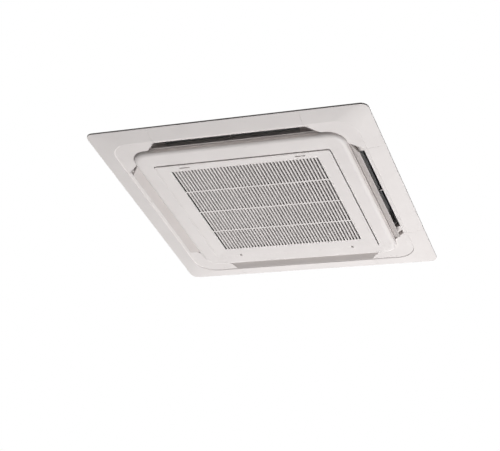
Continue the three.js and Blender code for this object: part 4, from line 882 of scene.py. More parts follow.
def makePanel():
    p = panel
    body = cut(panelSkin("decorationPanel"), openingCutter())
    body = join(body, openingFlange())
    # the corners are cut out for the covers, and a seat lies above each cover
    for corner in range(4):
        body = cut(body, onSide(coverPlace(), corner))
        body = join(body, onSide(coverSeat(), corner))
    body = join(body, ductFlange())
    for side in range(4):
        mouth = flaredPrism("mouth", outletOutline, p["platformLevel"] - 5, 12,
                            p["ringLevel"], p["outletRound"])
        body = cut(body, onSide(mouth, side))
        body = join(body, onSide(outletWalls(), side))
        body = cut(body, onSide(vaneHoles(), side))
        body = join(body, onSide(crossRib(), side), onSide(ductLips(), side), onSide(backRibs(), side))
    for x in (-p["hingeX"], p["hingeX"]):
        body = join(body, moved(hingeEar(), x, 0, 0))
        body = cut(body, rodX("bore", x - 4, x + 4, p["hingeY"], p["hingeZ"], p["bore"], ease=0))
    wallNear, wallFar = p["openingNear"] - p["wall"] - 1, p["openingNear"] + 1
    for x in (-p["latchX"], p["latchX"]):
        body = cut(body, block("catch", x - p["catchHalf"], wallNear, p["catch"][0],
                               x + p["catchHalf"], wallFar, p["catch"][1]))
    return body


def makeCovers():
    p = panel
    for corner, name in enumerate(cornerNames):
        cover = panelSkin("cornerCover_" + name)
        area = prism("coverArea", cornerOutline(0), p["bandLevel"] - 5, -p["seatThickness"] - p["coverGap"])
        keep = platformBlock(p["outletInner"] + p["seamGap"], p["platformRadius"] + p["seamGap"],
                             p["bandLevel"] - 20, 4)
        cover = cut(overlapOf(cover, area), keep)
        dress(onSide(cover, corner), "whiteMoulding", "unit", ["corner_cover_" + name], soft=p["coverRound"])


dress(makePanel(), "whiteMoulding", "unit", ["decoration_panel"])
makeCovers()
print("decoration panel and corner covers made")

# the intake grille: a shallow dish with four rows of slots, hinged on its far edge
grille = {
    "halfX": 304, "near": -290, "far": 304, "radius": 9, "level": -28.5, "plate": 2, "edgeRound": 1.2,
    "dishDepth": 1.4, "dishMargin": 8, "dishRound": 1.5, "fieldX": 260.9, "fieldY": 261, "fieldRadius": 3,
    "fieldLap": 9, "slatInset": 7.5, "slatDepth": 7,
    "slots": 45, "slotPitch": 11.4, "slotWidth": 6.2, "rows": 4, "slotLength": 122.5, "rowRib": 6,
    "slotRound": 0.4, "slotCorner": 1.2, "slotMouth": 1.9,
    "stiffenerInset": 3.2, "stiffenerWall": 2.2, "stiffenerHeight": 11,
    "hingeX": 210, "hingeY": 296, "hingeZ": -23.0, "earWidth": 6, "earGap": 1.2, "knuckleWidth": 8,
    "knuckleGap": 0.3, "bore": 1.9, "outer": 3.5, "pin": 1.6, "pinEase": 0.4,
    "latchX": 200, "buttonWidth": 34, "buttonLength": 8, "travel": 5, "setback": 7, "lip": 2,
    "tongueWidth": 18,
    "wellGap": 0.5, "wellRadius": 1.5, "slideGap": 0.3,
}


def grilleRect(inset, z):
    g = grille
    return (-g["halfX"] + inset, g["near"] + inset, g["halfX"] - inset, g["far"] - inset,
            max(g["radius"] - inset, 1), z)


def fieldRect(shrink, z):
    g = grille
    return (-g["fieldX"] + shrink, -g["fieldY"] + shrink, g["fieldX"] - shrink, g["fieldY"] - shrink,
            g["fieldRadius"], z)


def makeSlots(steps=2):
    # the slots as cutters, each a little wider at the face
    g = grille
    z0 = g["level"] + g["dishDepth"]
    half, length = g["slotWidth"] / 2, g["slotLength"] / 2

    def loop(grow, radius, z):
        return roundedLoop(-half - grow, -length - grow, half + grow, length + grow, radius, z, steps)

    bend, corner = g["slotRound"], g["slotCorner"]
    loops = [loop(bend, g["slotMouth"], z0 - 1)]
    for k in range(steps + 1):
        angle = k / steps * math.pi / 2
        grow = bend * (1 - math.sin(angle))
        loops.append(loop(grow, corner + grow, z0 + bend * (1 - math.cos(angle))))
    loops.append(loop(0, corner, z0 + g["slatDepth"] + 1))
    rowPitch = g["slotLength"] + g["rowRib"]
    slot = stack("slot", loops)
    return repeat("slots", gridTree, slot, "whiteMoulding", Columns=g["slots"], Rows=g["rows"],
                  Width=(g["slots"] - 1) * g["slotPitch"] * mm, Depth=(g["rows"] - 1) * rowPitch * mm)


def withHinge(body, x):
    # knuckles on both sides of the panel's ear, and room for the ear
    g = grille
    back = g["level"] + g["plate"]
    ear = g["earWidth"] / 2 + g["earGap"]
    span = ear + g["knuckleWidth"]
    y, z, front, end = g["hingeY"], g["hingeZ"], g["hingeY"] - g["outer"], g["far"] + 5
    body = cut(body, block("clear", x - span, front - 1, back - 0.2, x + span, end, back + 40))
    for hand in (-1, 1):
        gap = g["knuckleGap"]
        ends = sorted(x + hand * (g["earWidth"] / 2 + reach) for reach in (gap, gap + g["knuckleWidth"]))
        knuckle = rodX("knuckle", *ends, y, z, g["outer"], 32)
        foot = block("foot", ends[0], front, back - 0.5, ends[1], y + g["outer"], z - g["pin"])
        body = join(body, knuckle, foot)
    return cut(body, rodX("bore", x - span - 5, x + span + 5, y, z, g["bore"], ease=0),
               block("notch", x - ear, front - 0.6, g["level"] - 1, x + ear, end, back + 40))


def withLatchWell(body, x):
    # a well for the latch's button, room behind for its lip, and a gap for its tongue
    g = grille
    back = g["level"] + g["plate"]
    top = back + g["dishDepth"]
    half = g["buttonWidth"] / 2 + g["wellGap"]
    y0 = g["near"] + g["setback"] - g["wellGap"]
    y1 = y0 + g["buttonLength"] + g["travel"] + 2 * g["wellGap"]
    well = stack("well", [roundedLoop(x - half, y0, x + half, y1, g["wellRadius"], z, 4)
                          for z in (g["level"] - 1, top + 1)])
    reach = half + g["lip"] + g["slideGap"]
    behind = block("behind", x - reach, y0 - g["lip"] - g["slideGap"], top,
                   x + reach, y1 + g["travel"] + g["slideGap"], back + g["slatDepth"])
    tongue = g["tongueWidth"] / 2 + g["slideGap"]
    gap = block("gap", x - tongue, g["near"] - 1, back - 0.2, x + tongue, y0, back + g["stiffenerHeight"] + 1)
    return cut(body, well, behind, gap)


def makeGrille():
    g = grille
    face = g["level"] + g["dishDepth"]
    back = g["level"] + g["plate"]
    top = back + g["dishDepth"]
    outline = [
        (*grilleRect(0, back), 0), (*grilleRect(0, g["level"]), g["edgeRound"]),
        (*grilleRect(g["dishMargin"], g["level"]), g["edgeRound"]), (*fieldRect(0, face), g["dishRound"]),
        (*fieldRect(g["fieldLap"], face), 0), (*fieldRect(g["fieldLap"], top), 0), (*fieldRect(0, top), 0),
        (*grilleRect(g["dishMargin"], back), 0),
    ]
    body = frameLoft("intakeGrille", softened(outline), 8)
    levels = (face, face + g["slatDepth"])
    slats = stack("slats", [roundedLoop(*fieldRect(g["slatInset"], z), 4) for z in levels])
    outer, inner = g["stiffenerInset"], g["stiffenerInset"] + g["stiffenerWall"]
    foot, high = back - 0.5, back + g["stiffenerHeight"]
    stiffener = frameLoft("stiffener", [
        grilleRect(outer, foot), grilleRect(outer, high),
        grilleRect(inner, high), grilleRect(inner, foot)], 8)
    body = cut(join(body, slats, stiffener), makeSlots())
    for x in (-g["hingeX"], g["hingeX"]):
        body = withHinge(body, x)
    for x in (-g["latchX"], g["latchX"]):
        body = withLatchWell(body, x)
    return body


dress(makeGrille(), "whiteMoulding", "grille", ["intake_grille"])
print("intake grille made")

# the air vanes: thin blades with rounded edges and mitred ends, on a pin at each end
vane = {
    "open": 37, "inner": 368, "outer": 401.5, "level": -13, "thickness": 3, "taper": 3.5, "roundSteps": 8,
    "pivotD": 374.5, "pivotZ": -6.5, "pin": 2, "pinEnd": 290.33, "earRadius": 3.8, "earThickness": 3,
    "edgeGap": 2.5, "edgeRound": 0.3,
}


def vaneSection():
    v = vane
    middle, half = v["level"] + v["thickness"] / 2, v["thickness"] / 2
    section = []
    for centre, start in ((-v["outer"] + v["taper"], 90), (-v["inner"] - v["taper"], -90)):
        for k in range(v["roundSteps"] + 1):
            angle = math.radians(start + k * 180 / v["roundSteps"])
            section.append((centre + v["taper"] * math.cos(angle), middle + half * math.sin(angle)))
    return section


def makeVane(name):
    v, p = vane, panel
    length = p["outletLong"] + 5
    blade = stack(name, [[(x, y, z) for y, z in vaneSection()] for x in (-length, length)])
    mitre = v["edgeGap"] * math.sqrt(2)
    short = p["outletShort"] - mitre + v["edgeGap"]
    plan = prism("plan", [
        (-short, -p["outletOuter"]), (short, -p["outletOuter"]), (p["outletLong"] - mitre, -p["outletInner"]),
        (mitre - p["outletLong"], -p["outletInner"])], v["level"] - 5, p["ductRise"])
    blade = overlapOf(blade, plan)
    y, z, radius = -v["pivotD"], v["pivotZ"], v["earRadius"]
    wallAt = p["outletLong"] - (v["pivotD"] - p["outletInner"])
    earEnd = wallAt - radius - 1
    back = v["level"] + v["thickness"]
    for hand in (-1, 1):
        a = min(hand * earEnd, hand * (earEnd - v["earThickness"]))
        b = a + v["earThickness"]
        ear = rodX("ear", a, b, y, z, radius, 28)
        foot = block("foot", a, y - radius, back - 0.5, b, y + radius, z)
        ends = sorted((hand * (earEnd - 1), hand * v["pinEnd"]))
        blade = join(blade, ear, foot, rodX("pin", *ends, y, z, v["pin"], 20))
    turn = Matrix.Rotation(math.radians(v["open"]), 4, "X")
    centre = Vector((0, y, z)) * mm
    blade.data.transform(Matrix.Translation(centre) @ turn @ Matrix.Translation(-centre))
    return blade


# the vanes take the darkened white moulding, which is painted shade
for side, sideName in enumerate(sideNames):
    blade = onSide(makeVane("airVane_" + sideName), side)
    dress(blade, "vaneMoulding", "vane_" + sideName, ["air_vane_" + sideName], soft=vane["edgeRound"])
print("air vanes made")


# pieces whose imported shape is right: the same solid with soft edges and its finish
def dressCopy(node, finish, soft):
    source = frame["nodes"][node]
    obj = bpy.data.objects.new(node + "Dressed", source.data.copy())
    scene.collection.objects.link(obj)
    work = bmesh.new()
    work.from_mesh(obj.data)
    bmesh.ops.remove_doubles(work, verts=work.verts, dist=2e-6)
    work.to_mesh(obj.data)
    work.free()
    return dress(obj, finish, source["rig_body"], [node], soft=soft)


# the air filter on the grille's back: a ribbed frame and a net of fine threads in two layers
filterNet = {
    "halfX": 284.6, "near": -258.6, "far": 278.5, "level": -14.2, "thread": 0.8, "pitch": 2.4,
    "lengthwise": (-0.3, 0), "crosswise": (-0.05, 0.25), "edge": 2, "edgeHalf": 0.3, "cornerRadius": 3,
}


def netRect(inset, z):
    f = filterNet
    return (inset - f["halfX"], f["near"] + inset, f["halfX"] - inset, f["far"] - inset,
            f["cornerRadius"] - inset / 2, z)


def makeNet():
    f = filterNet
    half = f["thread"] / 2
    width, depth = 2 * f["halfX"], f["far"] - f["near"]
    (a0, a1), (b0, b1) = f["lengthwise"], f["crosswise"]
    lengthwise = block("thread", -half, -depth / 2, a0, half, depth / 2, a1)
    crosswise = block("thread", -width / 2, -half, b0, width / 2, half, b1)
    centre = Vector((0, (f["near"] + f["far"]) / 2, f["level"])) * mm
    layers = [
        repeat("threads", gridTree, lengthwise, "netThread", Columns=int(width / f["pitch"]), Rows=1,
               Width=(width - 1) * mm, Centre=centre),
        repeat("threads", gridTree, crosswise, "netThread", Columns=1, Rows=int(depth / f["pitch"]),
               Depth=(depth - 1) * mm, Centre=centre)]
    low, high = f["level"] - f["edgeHalf"], f["level"] + f["edgeHalf"]
    sections = [netRect(0, low), netRect(0, high), netRect(f["edge"], high), netRect(f["edge"], low)]
    return merged("filterNet", layers + [frameLoft("edge", sections, 4)])


def makeHingePin(name, x):
    g = grille
    reach = g["earWidth"] / 2 + g["knuckleGap"] + g["knuckleWidth"]
    return rodX(name, x - reach, x + reach, g["hingeY"], g["hingeZ"], g["pin"], ease=g["pinEase"])


dressCopy("filter_frame", "greyMoulding", 0.5)
dress(makeNet(), "netThread", "grille", ["filter_net"])
for hand, x in (("left", -grille["hingeX"]), ("right", grille["hingeX"])):
    dressCopy("latch_" + hand, "whiteMoulding", 0.35)
    dress(makeHingePin("hingePin_" + hand, x), "steel", "unit", ["hinge_pin_" + hand])
print("filter, latches and hinge pins made")

# vane motors with their plugs, and the bushes at the other ends
vaneDrive = {
    "start": 292.33, "length": 15, "radius": 10, "z": 0.5, "ease": 0.8, "grooveDepth": 0.5,
    "groove": (4.6, 5, 5.6, 6), "shaft": 2, "shaftGap": 0.3, "plugStart": 4, "plugEnd": 3, "plugHalf": 5,
    "edgeRound": 0.25,
}
vaneBush = {"bore": 2.3, "radius": 3.3, "length": 6, "ease": 0.3, "behindWall": 5}


def makeVaneMotor(name):
    v, d = vane, vaneDrive
    r, ease, length, start, y = d["radius"], d["ease"], d["length"], d["start"], -v["pivotD"]
    g0, g1, g2, g3 = d["groove"]
    neck = r - d["grooveDepth"]
    can = turned("can", [
        (0, 0), (r - ease, 0), (r, ease), (r, g0), (neck, g1), (neck, g2), (r, g3),
        (r, length - ease), (r - ease, length), (0, length)], 40)
    laid(can, 90, "Y", start, y, d["z"])
    shaft = rodX("shaft", v["pinEnd"] + d["shaftGap"], start + 1, y, v["pivotZ"], d["shaft"], 20, 0.2)
    plug = block("plug", start + d["plugStart"], y - d["plugHalf"], d["z"],
                 start + length - d["plugEnd"], y + d["plugHalf"], d["z"] + r)
    body = join(can, shaft, plug)
    body.name = name
    return body


def makeVaneBush(name):
    b = vaneBush
    r, length, ease = b["radius"], b["length"], b["ease"]
    bush = turned(name, [(b["bore"], 0), (b["bore"], length), (r - ease, length), (r, length - ease),
                         (r, ease),
                         (r - ease, 0)], 28)
    start = -(panel["outletLong"] - (vane["pivotD"] - panel["outletInner"]) + b["behindWall"])
    return laid(bush, 90, "Y", start, -vane["pivotD"], vane["pivotZ"])


for side, sideName in enumerate(sideNames):
    motor = onSide(makeVaneMotor("vaneMotor_" + sideName), side)
    dress(motor, "steel", "unit", ["vane_motor_" + sideName], soft=vaneDrive["edgeRound"])
    bush = onSide(makeVaneBush("vaneBush_" + sideName), side)
    dress(bush, "greyMoulding", "unit", ["vane_bush_" + sideName])
for node in ("outer_seal", "inner_seal"):
    dressCopy(node, "darkFoam", 0.8)
print("vane motors, bushes and seals made")

# the cabinet: folded sheet with pressed beads, lapped corner strips and screws
cabinet = {
    "half": 420, "chamfer": 95, "sheet": 1.5, "base": 12, "top": 258, "cornerRound": 4, "edgeRound": 2.5,
    "beadD": 310, "beadLength": 230, "beadWidth": 18,
    "beadSteps": ((0, -0.7), (0, 0), (0.5, 0.4), (1.6, 1.6), (2.6, 2.6), (3.6, 3), (4.5, 3)),
    "padRadius": 146, "padSteps": ((0, -0.7), (0, 0), (0.8, 0.4), (3, 1.6), (5, 2.6), (7, 3)), "padHeight": 3,
    "channelReach": (30, 120), "channelRadius": 5.2, "channelLift": 4, "recessRadius": 6.5, "recessDepth": 6,
    "stripWidth": 20, "stripThickness": 0.8, "stripInset": 4, "hemHeight": 9, "hemThickness": 0.9,
    "windowX": (-311, -255), "windowZ": (159, 225), "windowY": (395, 425),
    "drainY": 287.5, "drainZ": 186, "drainHole": 13.5, "cableHole": 14, "holeX": (400, 425),
}
cabinetScrew = {
    "radius": 3.4, "stripLevels": (36, 110, 184, 244),
    "hangerX": 22, "hangerLevels": (142, 172), "hangerPlate": 2.8,
    "coverX": (-318, -248), "coverLevels": (152, 232), "coverPlate": 1.8,
}
mountPlace = {"d": 93, "floor": 0.7, "first": 90, "count": 3}


def octagonLoop(half, z, bend, steps=5):
    c = cabinet
    corner = c["half"] - c["chamfer"] - (c["half"] - half) * (math.sqrt(2) - 1)
    outline = [(half, -corner), (half, corner), (corner, half), (-corner, half),
               (-half, corner), (-half, -corner),
               (-corner, -half), (corner, -half)]
    return [(x, y, z) for x, y in softened([(x, y, bend) for x, y in outline], steps)]


def screwPiece(radius):
    # a flanged head with a cross recess
    shares = [(0, 0), (1.25, 0), (1.25, 0.16), (1, 0.22), (1, 0.4), (0.7, 0.58), (0, 0.62)]
    head = turned("screw", [(radius * across, radius * up) for across, up in shares], 14)
    length, width, floor = radius * 0.62, radius * 0.13, radius * 0.35
    for turn in (0, 1):
        head = cut(head, onSide(block("bar", -length, -width, floor, length, width, radius), turn))
    return head


def mountAngle(k):
    return math.radians(mountPlace["first"] + 360 / mountPlace["count"] * k)


def padSpot(k):
    # where a screw through the pad holds a rubber mount
    angle, d = mountAngle(k), mountPlace["d"]
    return Vector((d * math.cos(angle), d * math.sin(angle), cabinet["top"] + mountPlace["floor"]))


def pressedTop():
    # four long beads and the round pad in the middle, standing a little above the top sheet
    c = cabinet
    length, width, top, r = c["beadLength"] / 2, c["beadWidth"] / 2, c["top"], c["padRadius"]
    raised = []
    for side in range(4):
        loops = []
        for grow, z in c["beadSteps"]:
            loops.append(roundedLoop(-length + grow, -c["beadD"] - width + grow, length - grow,
                                     -c["beadD"] + width - grow, width * 0.9 - grow, top + z, 8))
        raised.append(onSide(stack("bead", loops), side))
    slope = [(r - inwards, top + z) for inwards, z in c["padSteps"]]
    raised.append(turned("pad", [(0, slope[0][1])] + slope + [(0, top + c["padHeight"])], 120))
    return raised


def foldStrips():
    # strips lapped over the corners' folds and a hem along the lower edge
    c = cabinet
    corner = c["half"] - c["chamfer"]
    inset, surface = c["stripInset"], -c["half"]
    strips = []
    for side in range(4):
        for hand in (-1, 1):
            x0, x1 = sorted((hand * (corner - inset), hand * (corner - inset - c["stripWidth"])))
            strip = block("strip", x0, surface - c["stripThickness"], c["base"] + 2,
                          x1, surface + 0.5, c["top"] - 4)
            strips.append(onSide(strip, side))
        hem = block("hem", -corner + 2, surface - c["hemThickness"], c["base"],
                    corner - 2, surface + 0.4, c["base"] + c["hemHeight"])
        strips.append(onSide(hem, side))
    return strips


def makeCabinet():
    c = cabinet
    bend, edge, half, top, base = c["cornerRound"], c["edgeRound"], c["half"], c["top"], c["base"]
    loops = [octagonLoop(half, base, bend), octagonLoop(half, top - edge, bend)]
    for k in range(1, 5):
        angle = k * math.pi / 8
        level = top - edge * (1 - math.sin(angle))
        loops.append(octagonLoop(half - edge * (1 - math.cos(angle)), level, bend))
    inner = half - c["sheet"]
    hollow = stack("hollow", [octagonLoop(inner, base - 1, bend), octagonLoop(inner, top - c["sheet"], bend)])
    body = join(cut(stack("cabinetShell", loops), hollow), *pressedTop())
    # shallow channels pressed into the pad, and between them a recess for each mount's screw
    level = top + c["padHeight"] + c["channelLift"]
    for k in range(mountPlace["count"]):
        angle = math.radians(30 + 120 * k)
        ends = [(reach * math.cos(angle), reach * math.sin(angle), level) for reach in c["channelReach"]]
        spot = padSpot(k)
        above = (spot.x, spot.y, spot.z + c["recessDepth"])
        body = cut(body, rod("channel", *ends, c["channelRadius"]),
                   rod("recess", spot, above, c["recessRadius"], 32))
    (x0, x1), (y0, y1), (z0, z1) = c["windowX"], c["windowY"], c["windowZ"]
    (a, b), y, z = c["holeX"], c["drainY"], c["drainZ"]
    body = cut(body, block("window", x0, y0, z0, x1, y1, z1),
               rodX("drainHole", -b, -a, y, z, c["drainHole"], 40, 0),
               rodX("cableHole", a, b, y, z, c["cableHole"], 40, 0))
    return join(body, *foldStrips())


def cabinetScrews():
    c, s = cabinet, cabinetScrew
    places = []
    corner = c["half"] - c["chamfer"]
    for side in range(4):
        turn = Matrix.Rotation(side * math.pi / 2, 3, "Z")
        for hand in (-1, 1):
            x = hand * (corner - c["stripInset"] - c["stripWidth"] / 2)
            for z in s["stripLevels"]:
                spot = Vector((x, -c["half"] - c["stripThickness"], z))
                places.append((turn @ spot, turn @ Vector((0, -1, 0))))
    for k in range(mountPlace["count"]):
        places.append((padSpot(k), Vector((0, 0, 1))))
    hangerFace = (2 * c["half"] - c["chamfer"]) / math.sqrt(2) + s["hangerPlate"]
    for k in range(4):
        turn = Matrix.Rotation(math.radians(-45 + 90 * k), 3, "Z")
        for x in (-s["hangerX"], s["hangerX"]):
            for z in s["hangerLevels"]:
                places.append((turn @ Vector((x, hangerFace, z)), turn @ Vector((0, 1, 0))))
    for x in s["coverX"]:
        for z in s["coverLevels"]:
            places.append((Vector((x, c["half"] + s["coverPlate"], z)), Vector((0, 1, 0))))
    return repeat("cabinetScrews", pointTree, screwPiece(s["radius"]), "steel", places, Size=1.0)


dress(makeCabinet(), "steel", "unit", ["cabinet_shell"])
dress(cabinetScrews(), "steel", "unit", [], angle=40)
dressCopy("cabinet_insulation", "whiteFoam", 0)
dressCopy("pipe_cover_plate", "steel", 0.4)
for cornerName in cornerNames:
    dressCopy("hanger_" + cornerName, "steel", 0.5)
print("cabinet, hangers and screws made")

# the drain pan, its plug, and what stands in the sump; outlines as radius, height and rounding
pump = {
    "x": -328.7, "y": 328.7, "base": 27.3, "top": 143.3, "radius": 27,
    "inlet": ((0, 0, 0), (16, 0, 1.2), (20, 10, 2), (20, 40, 2), (12, 52, 1), (12, 60, 1)),
    "canFromBase": ((-4, 62, 2), (0, 62, 1.2), (0, 72, 0), (-0.8, 72.6, 0), (-0.8, 74.4, 0), (0, 75, 0)),
    "canFromTop": ((0, -4, 2.4), (-4, 0, 2), (-12, 0, 0), (-12.6, -1, 0)),
}
floatSwitch = {
    "x": -287.7, "y": 322.7, "base": 31.3, "top": 47.3, "bore": 3.3, "endRadius": 9.5, "radius": 11,
    "shoulder": 1.7,
}


def makePump():
    q = pump
    base, top, radius = q["base"], q["top"], q["radius"]
    profile = [(r, base + z, bend) for r, z, bend in q["inlet"]]
    profile += [(radius + r, base + z, bend) for r, z, bend in q["canFromBase"]]
    profile += [(radius + r, top + z, bend) for r, z, bend in q["canFromTop"]]
    return moved(turned("drainPump", softened(profile + [(0, top - 1, 0)]), 56), q["x"], q["y"], 0)


def makeFloat():
    q = floatSwitch
    base, top, rise = q["base"], q["top"], q["shoulder"]
    profile = [(q["bore"], base, 0), (q["endRadius"], base, 0.6), (q["radius"], base + rise, 1),
               (q["radius"], top - rise, 1), (q["endRadius"], top, 0.6), (q["bore"], top, 0)]
    return moved(turned("floatBody", softened(profile, 3), 40), q["x"], q["y"], 0)


dressCopy("drain_pan", "whiteFoam", 1.6)
dressCopy("drain_plug", "rubber", 0.4)
dress(makePump(), "whiteMoulding", "unit", ["drain_pump"])
dressCopy("pump_bracket", "steel", 0.4)
dressCopy("float_switch_stem", "whiteMoulding", 0.4)
dress(makeFloat(), "blackMoulding", "float", ["float"])
print("drain pan, pump and float made")

# the bell mouth, the turbo fan and what drives it
bellMouth = {
    "throat": 177, "flare": 32, "lip": 2.5, "ease": 0.8, "level": 40.3, "plate": 3, "top": 77.3, "rise": 28,
    "half": 271.7, "cornerRadius": 59.7, "edge": 0.6, "collar": 8, "lap": 4, "rings": (229, 243),
    "ringWidth": 2.4, "ringHeight": 0.6,
}
fan = {
    "radius": 229, "inlet": 183, "neck": 67.3, "shroudTop": 113.3, "rise": 36, "back": 201.3, "skin": 2.5,
    "hub": 134.3, "hubRadius": 42, "cone": 128, "boss": 14, "bossLength": 14, "bore": 6.3,
    "blades": 7, "bladeInner": 157, "bladeSweep": 38, "bladeThickness": 4, "steps": 14,
    "holes": 8, "holeD": 72, "holeRadius": 7,
}
fanMotor = {
    "radius": 62, "base": 152.8, "top": 234.8, "bore": 6.3, "boreDepth": 8.3,
    "slots": 18, "slotRange": (34, 48), "slotHalf": 2.2,
    "boss": ((0, 0, 0), (20, 0, 1.5), (20, 6, 1.5)),
    "canFromBase": ((-10, 6, 3), (0, 16, 4), (0, 34, 0), (-1.2, 35, 0), (-1.2, 39, 0), (0, 40, 0)),
    "canFromTop": ((0, -20, 2), (-4, -16, 2), (-4, 0, 2)),
}
motorShaft = {"start": 108, "end": 160.8, "radius": 6, "ease": 0.6}
fanNut = {"height": 9, "across": 11, "bore": 6.3, "level": 111.0}
rubberMount = {"base": 237.9, "top": 256.2, "radius": 11, "waist": 8.5, "groove": 1.5}


def bellCurve(offset, steps=12):
    # the bell mouth's flare, from its rim to its throat
    f = bellMouth
    points = []
    for i in range(steps + 1):
        angle = i / steps * math.pi / 2
        r = f["throat"] + f["flare"] - (f["flare"] - offset) * math.sin(angle)
        z = f["level"] + f["plate"] + (f["rise"] - offset) * (1 - math.cos(angle))
        points.append((r, z if offset else z - f["plate"] * (1 - i / steps)))
    return points


def makeBellMouth():
    f = bellMouth
    level, top, throat, lip, ease = f["level"], f["top"], f["throat"], f["lip"], f["ease"]
    face = level + f["plate"]
    outer = throat + f["flare"] + f["collar"]
    mouth = [(throat, top - ease), (throat + ease, top),
             (throat + lip - ease, top), (throat + lip, top - ease)]
    horn = turned("horn", bellCurve(0) + mouth + bellCurve(lip)[::-1] + [(outer, face), (outer, level)], 120)
    edges = ((f["edge"], level), (0, level + f["edge"]), (0, face))
    loops = [roundedLoop(*square(f["half"] - grow, f["cornerRadius"], z), 16) for grow, z in edges]
    plate = stack("bellMouth", loops)
    plate = cut(plate, rod("eye", (0, 0, level - 1), (0, 0, level + 10), outer - f["lap"], 120))
    rings = []
    for r in f["rings"]:
        wide, high = r + f["ringWidth"], level + f["ringHeight"]
        rings.append(turned("ring", [(r, level), (r, high), (wide, high), (wide, level)], 120))
    return join(plate, horn, *rings)


def bladePiece():
    # a swept blade, cut to the room between the back plate and the shroud
    f = fan
    inner, outer = f["bladeInner"], f["radius"] - 1
    sides = {-1: [], 1: []}
    for i in range(f["steps"] + 1):
        t = i / f["steps"]
        r = inner + (outer - inner) * t
        angle = math.radians(-f["bladeSweep"] * t ** 0.9)
        half = f["bladeThickness"] / 2 * (0.3 + 0.7 * math.sin(math.pi * (0.06 + 0.88 * t)))
        for hand in (-1, 1):
            sides[hand].append((r * math.cos(angle) + hand * half * 0.45, r * math.sin(angle) + hand * half))
    top, skin, rise, shroud = f["back"] + f["skin"] / 2, f["skin"], f["rise"], f["shroudTop"]
    strip = prism("blade", sides[-1] + sides[1][::-1], f["neck"], top)
    space = turned("space", [
        (inner - 5, top), (inner - 5, shroud + 10), (f["inlet"] + skin / 2, shroud - rise + 2),
        (f["inlet"] + skin + 4, shroud - rise * 0.6), (f["radius"] - 18, shroud - rise * 0.1 + 1),
        (f["radius"], shroud + skin / 2), (f["radius"], top)], 96)
    return overlapOf(strip, space)


def shroudCurve(offset):
    # the shroud from its neck to its rim, on the blades' side or, with an offset, on the other
    f = fan
    points = []
    for i in range(f["steps"] + 1):
        angle = i / f["steps"] * math.pi / 2
        r = f["radius"] - (f["radius"] - f["inlet"] - offset) * math.cos(angle)
        z = f["shroudTop"] - f["rise"] * (1 - math.sin(angle)) + (0 if offset else f["skin"])
        points.append((f["radius"] if i == f["steps"] else r, z))
    return points


def makeFan():
    f = fan
    hub, back, skin, bore, inlet = f["hub"], f["back"], f["skin"], f["bore"], f["inlet"]
    shroud = turned("shroud", [(inlet, f["neck"])] + shroudCurve(0) + shroudCurve(skin)[::-1] + [
        (inlet + skin, f["neck"])], 120)
    wheel = turned("turboFan", softened([
        (bore, hub - f["bossLength"], 0), (f["boss"], hub - f["bossLength"], 1), (f["boss"], hub, 3),
        (f["hubRadius"], hub, 8), (f["cone"], back, 10), (f["radius"], back, 0),
        (f["radius"], back + skin, 0),
        (f["cone"] - 1, back + skin, 9), (f["hubRadius"] - 1, hub + skin, 7), (bore, hub + skin, 0)], 5), 120)
    blades = repeat("blades", ringTree, bladePiece(), "blackMoulding", Count=f["blades"],
                    Step=2 * math.pi / f["blades"])
    wheel = join(wheel, shroud, blades)
    # balancing and cooling holes round the hub's cone
    d, step = f["holeD"], 2 * math.pi / f["holes"]
    hole = rod("hole", (d, 0, hub - 5), (d, 0, back), f["holeRadius"], 20)
    holes = repeat("holes", ringTree, hole, "blackMoulding", Count=f["holes"], Start=step / 2, Step=step)
    return cut(wheel, holes)


def makeFanMotor():
    q = fanMotor
    base, top, radius, half = q["base"], q["top"], q["radius"], q["slotHalf"]
    profile = [(r, base + z, bend) for r, z, bend in q["boss"]]
    profile += [(radius + r, base + z, bend) for r, z, bend in q["canFromBase"]]
    profile += [(radius + r, top + z, bend) for r, z, bend in q["canFromTop"]]
    can = turned("fanMotor", softened(profile + [(0, top, 0)]), 96)
    x0, x1 = q["slotRange"]
    slot = rounded("slot", x0, -half, x1, half, 2, base - 5, base + 12, 4)
    slots = repeat("slots", ringTree, slot, "steel", Count=q["slots"], Step=2 * math.pi / q["slots"])
    return cut(can, slots, rod("shaftHole", (0, 0, base - 1), (0, 0, base + q["boreDepth"]), q["bore"], 40))


def hexNut(name, height, across, bore):
    # a six-sided nut with eased corners, standing on Z = 0
    outline = [(across * math.cos(k * math.pi / 3), across * math.sin(k * math.pi / 3)) for k in range(6)]
    flat, slope, corner = across * 0.13, across * 0.13 * 0.9, across + 0.2
    ease = turned("ease", [(0, 0), (across - flat, 0), (corner, slope), (corner, height - slope),
                           (across - flat, height), (0, height)], 60)
    nut = overlapOf(prism(name, outline, 0, height), ease)
    return cut(nut, rod("bore", (0, 0, -5), (0, 0, height + 5), bore, 40))


def makeRubberMount(name, k):
    q = rubberMount
    base, top, r, waist = q["base"], q["top"], q["radius"], q["waist"]
    middle = (base + top) / 2
    mount = turned(name, softened([
        (0, base, 0), (r, base, 0.8),
        (r, middle - q["groove"], 1), (waist, middle, 1), (r, middle + q["groove"], 1),
        (r, top, 0.8), (0, top, 0)]), 40)
    angle = mountAngle(k)
    return moved(mount, mountPlace["d"] * math.cos(angle), mountPlace["d"] * math.sin(angle), 0)


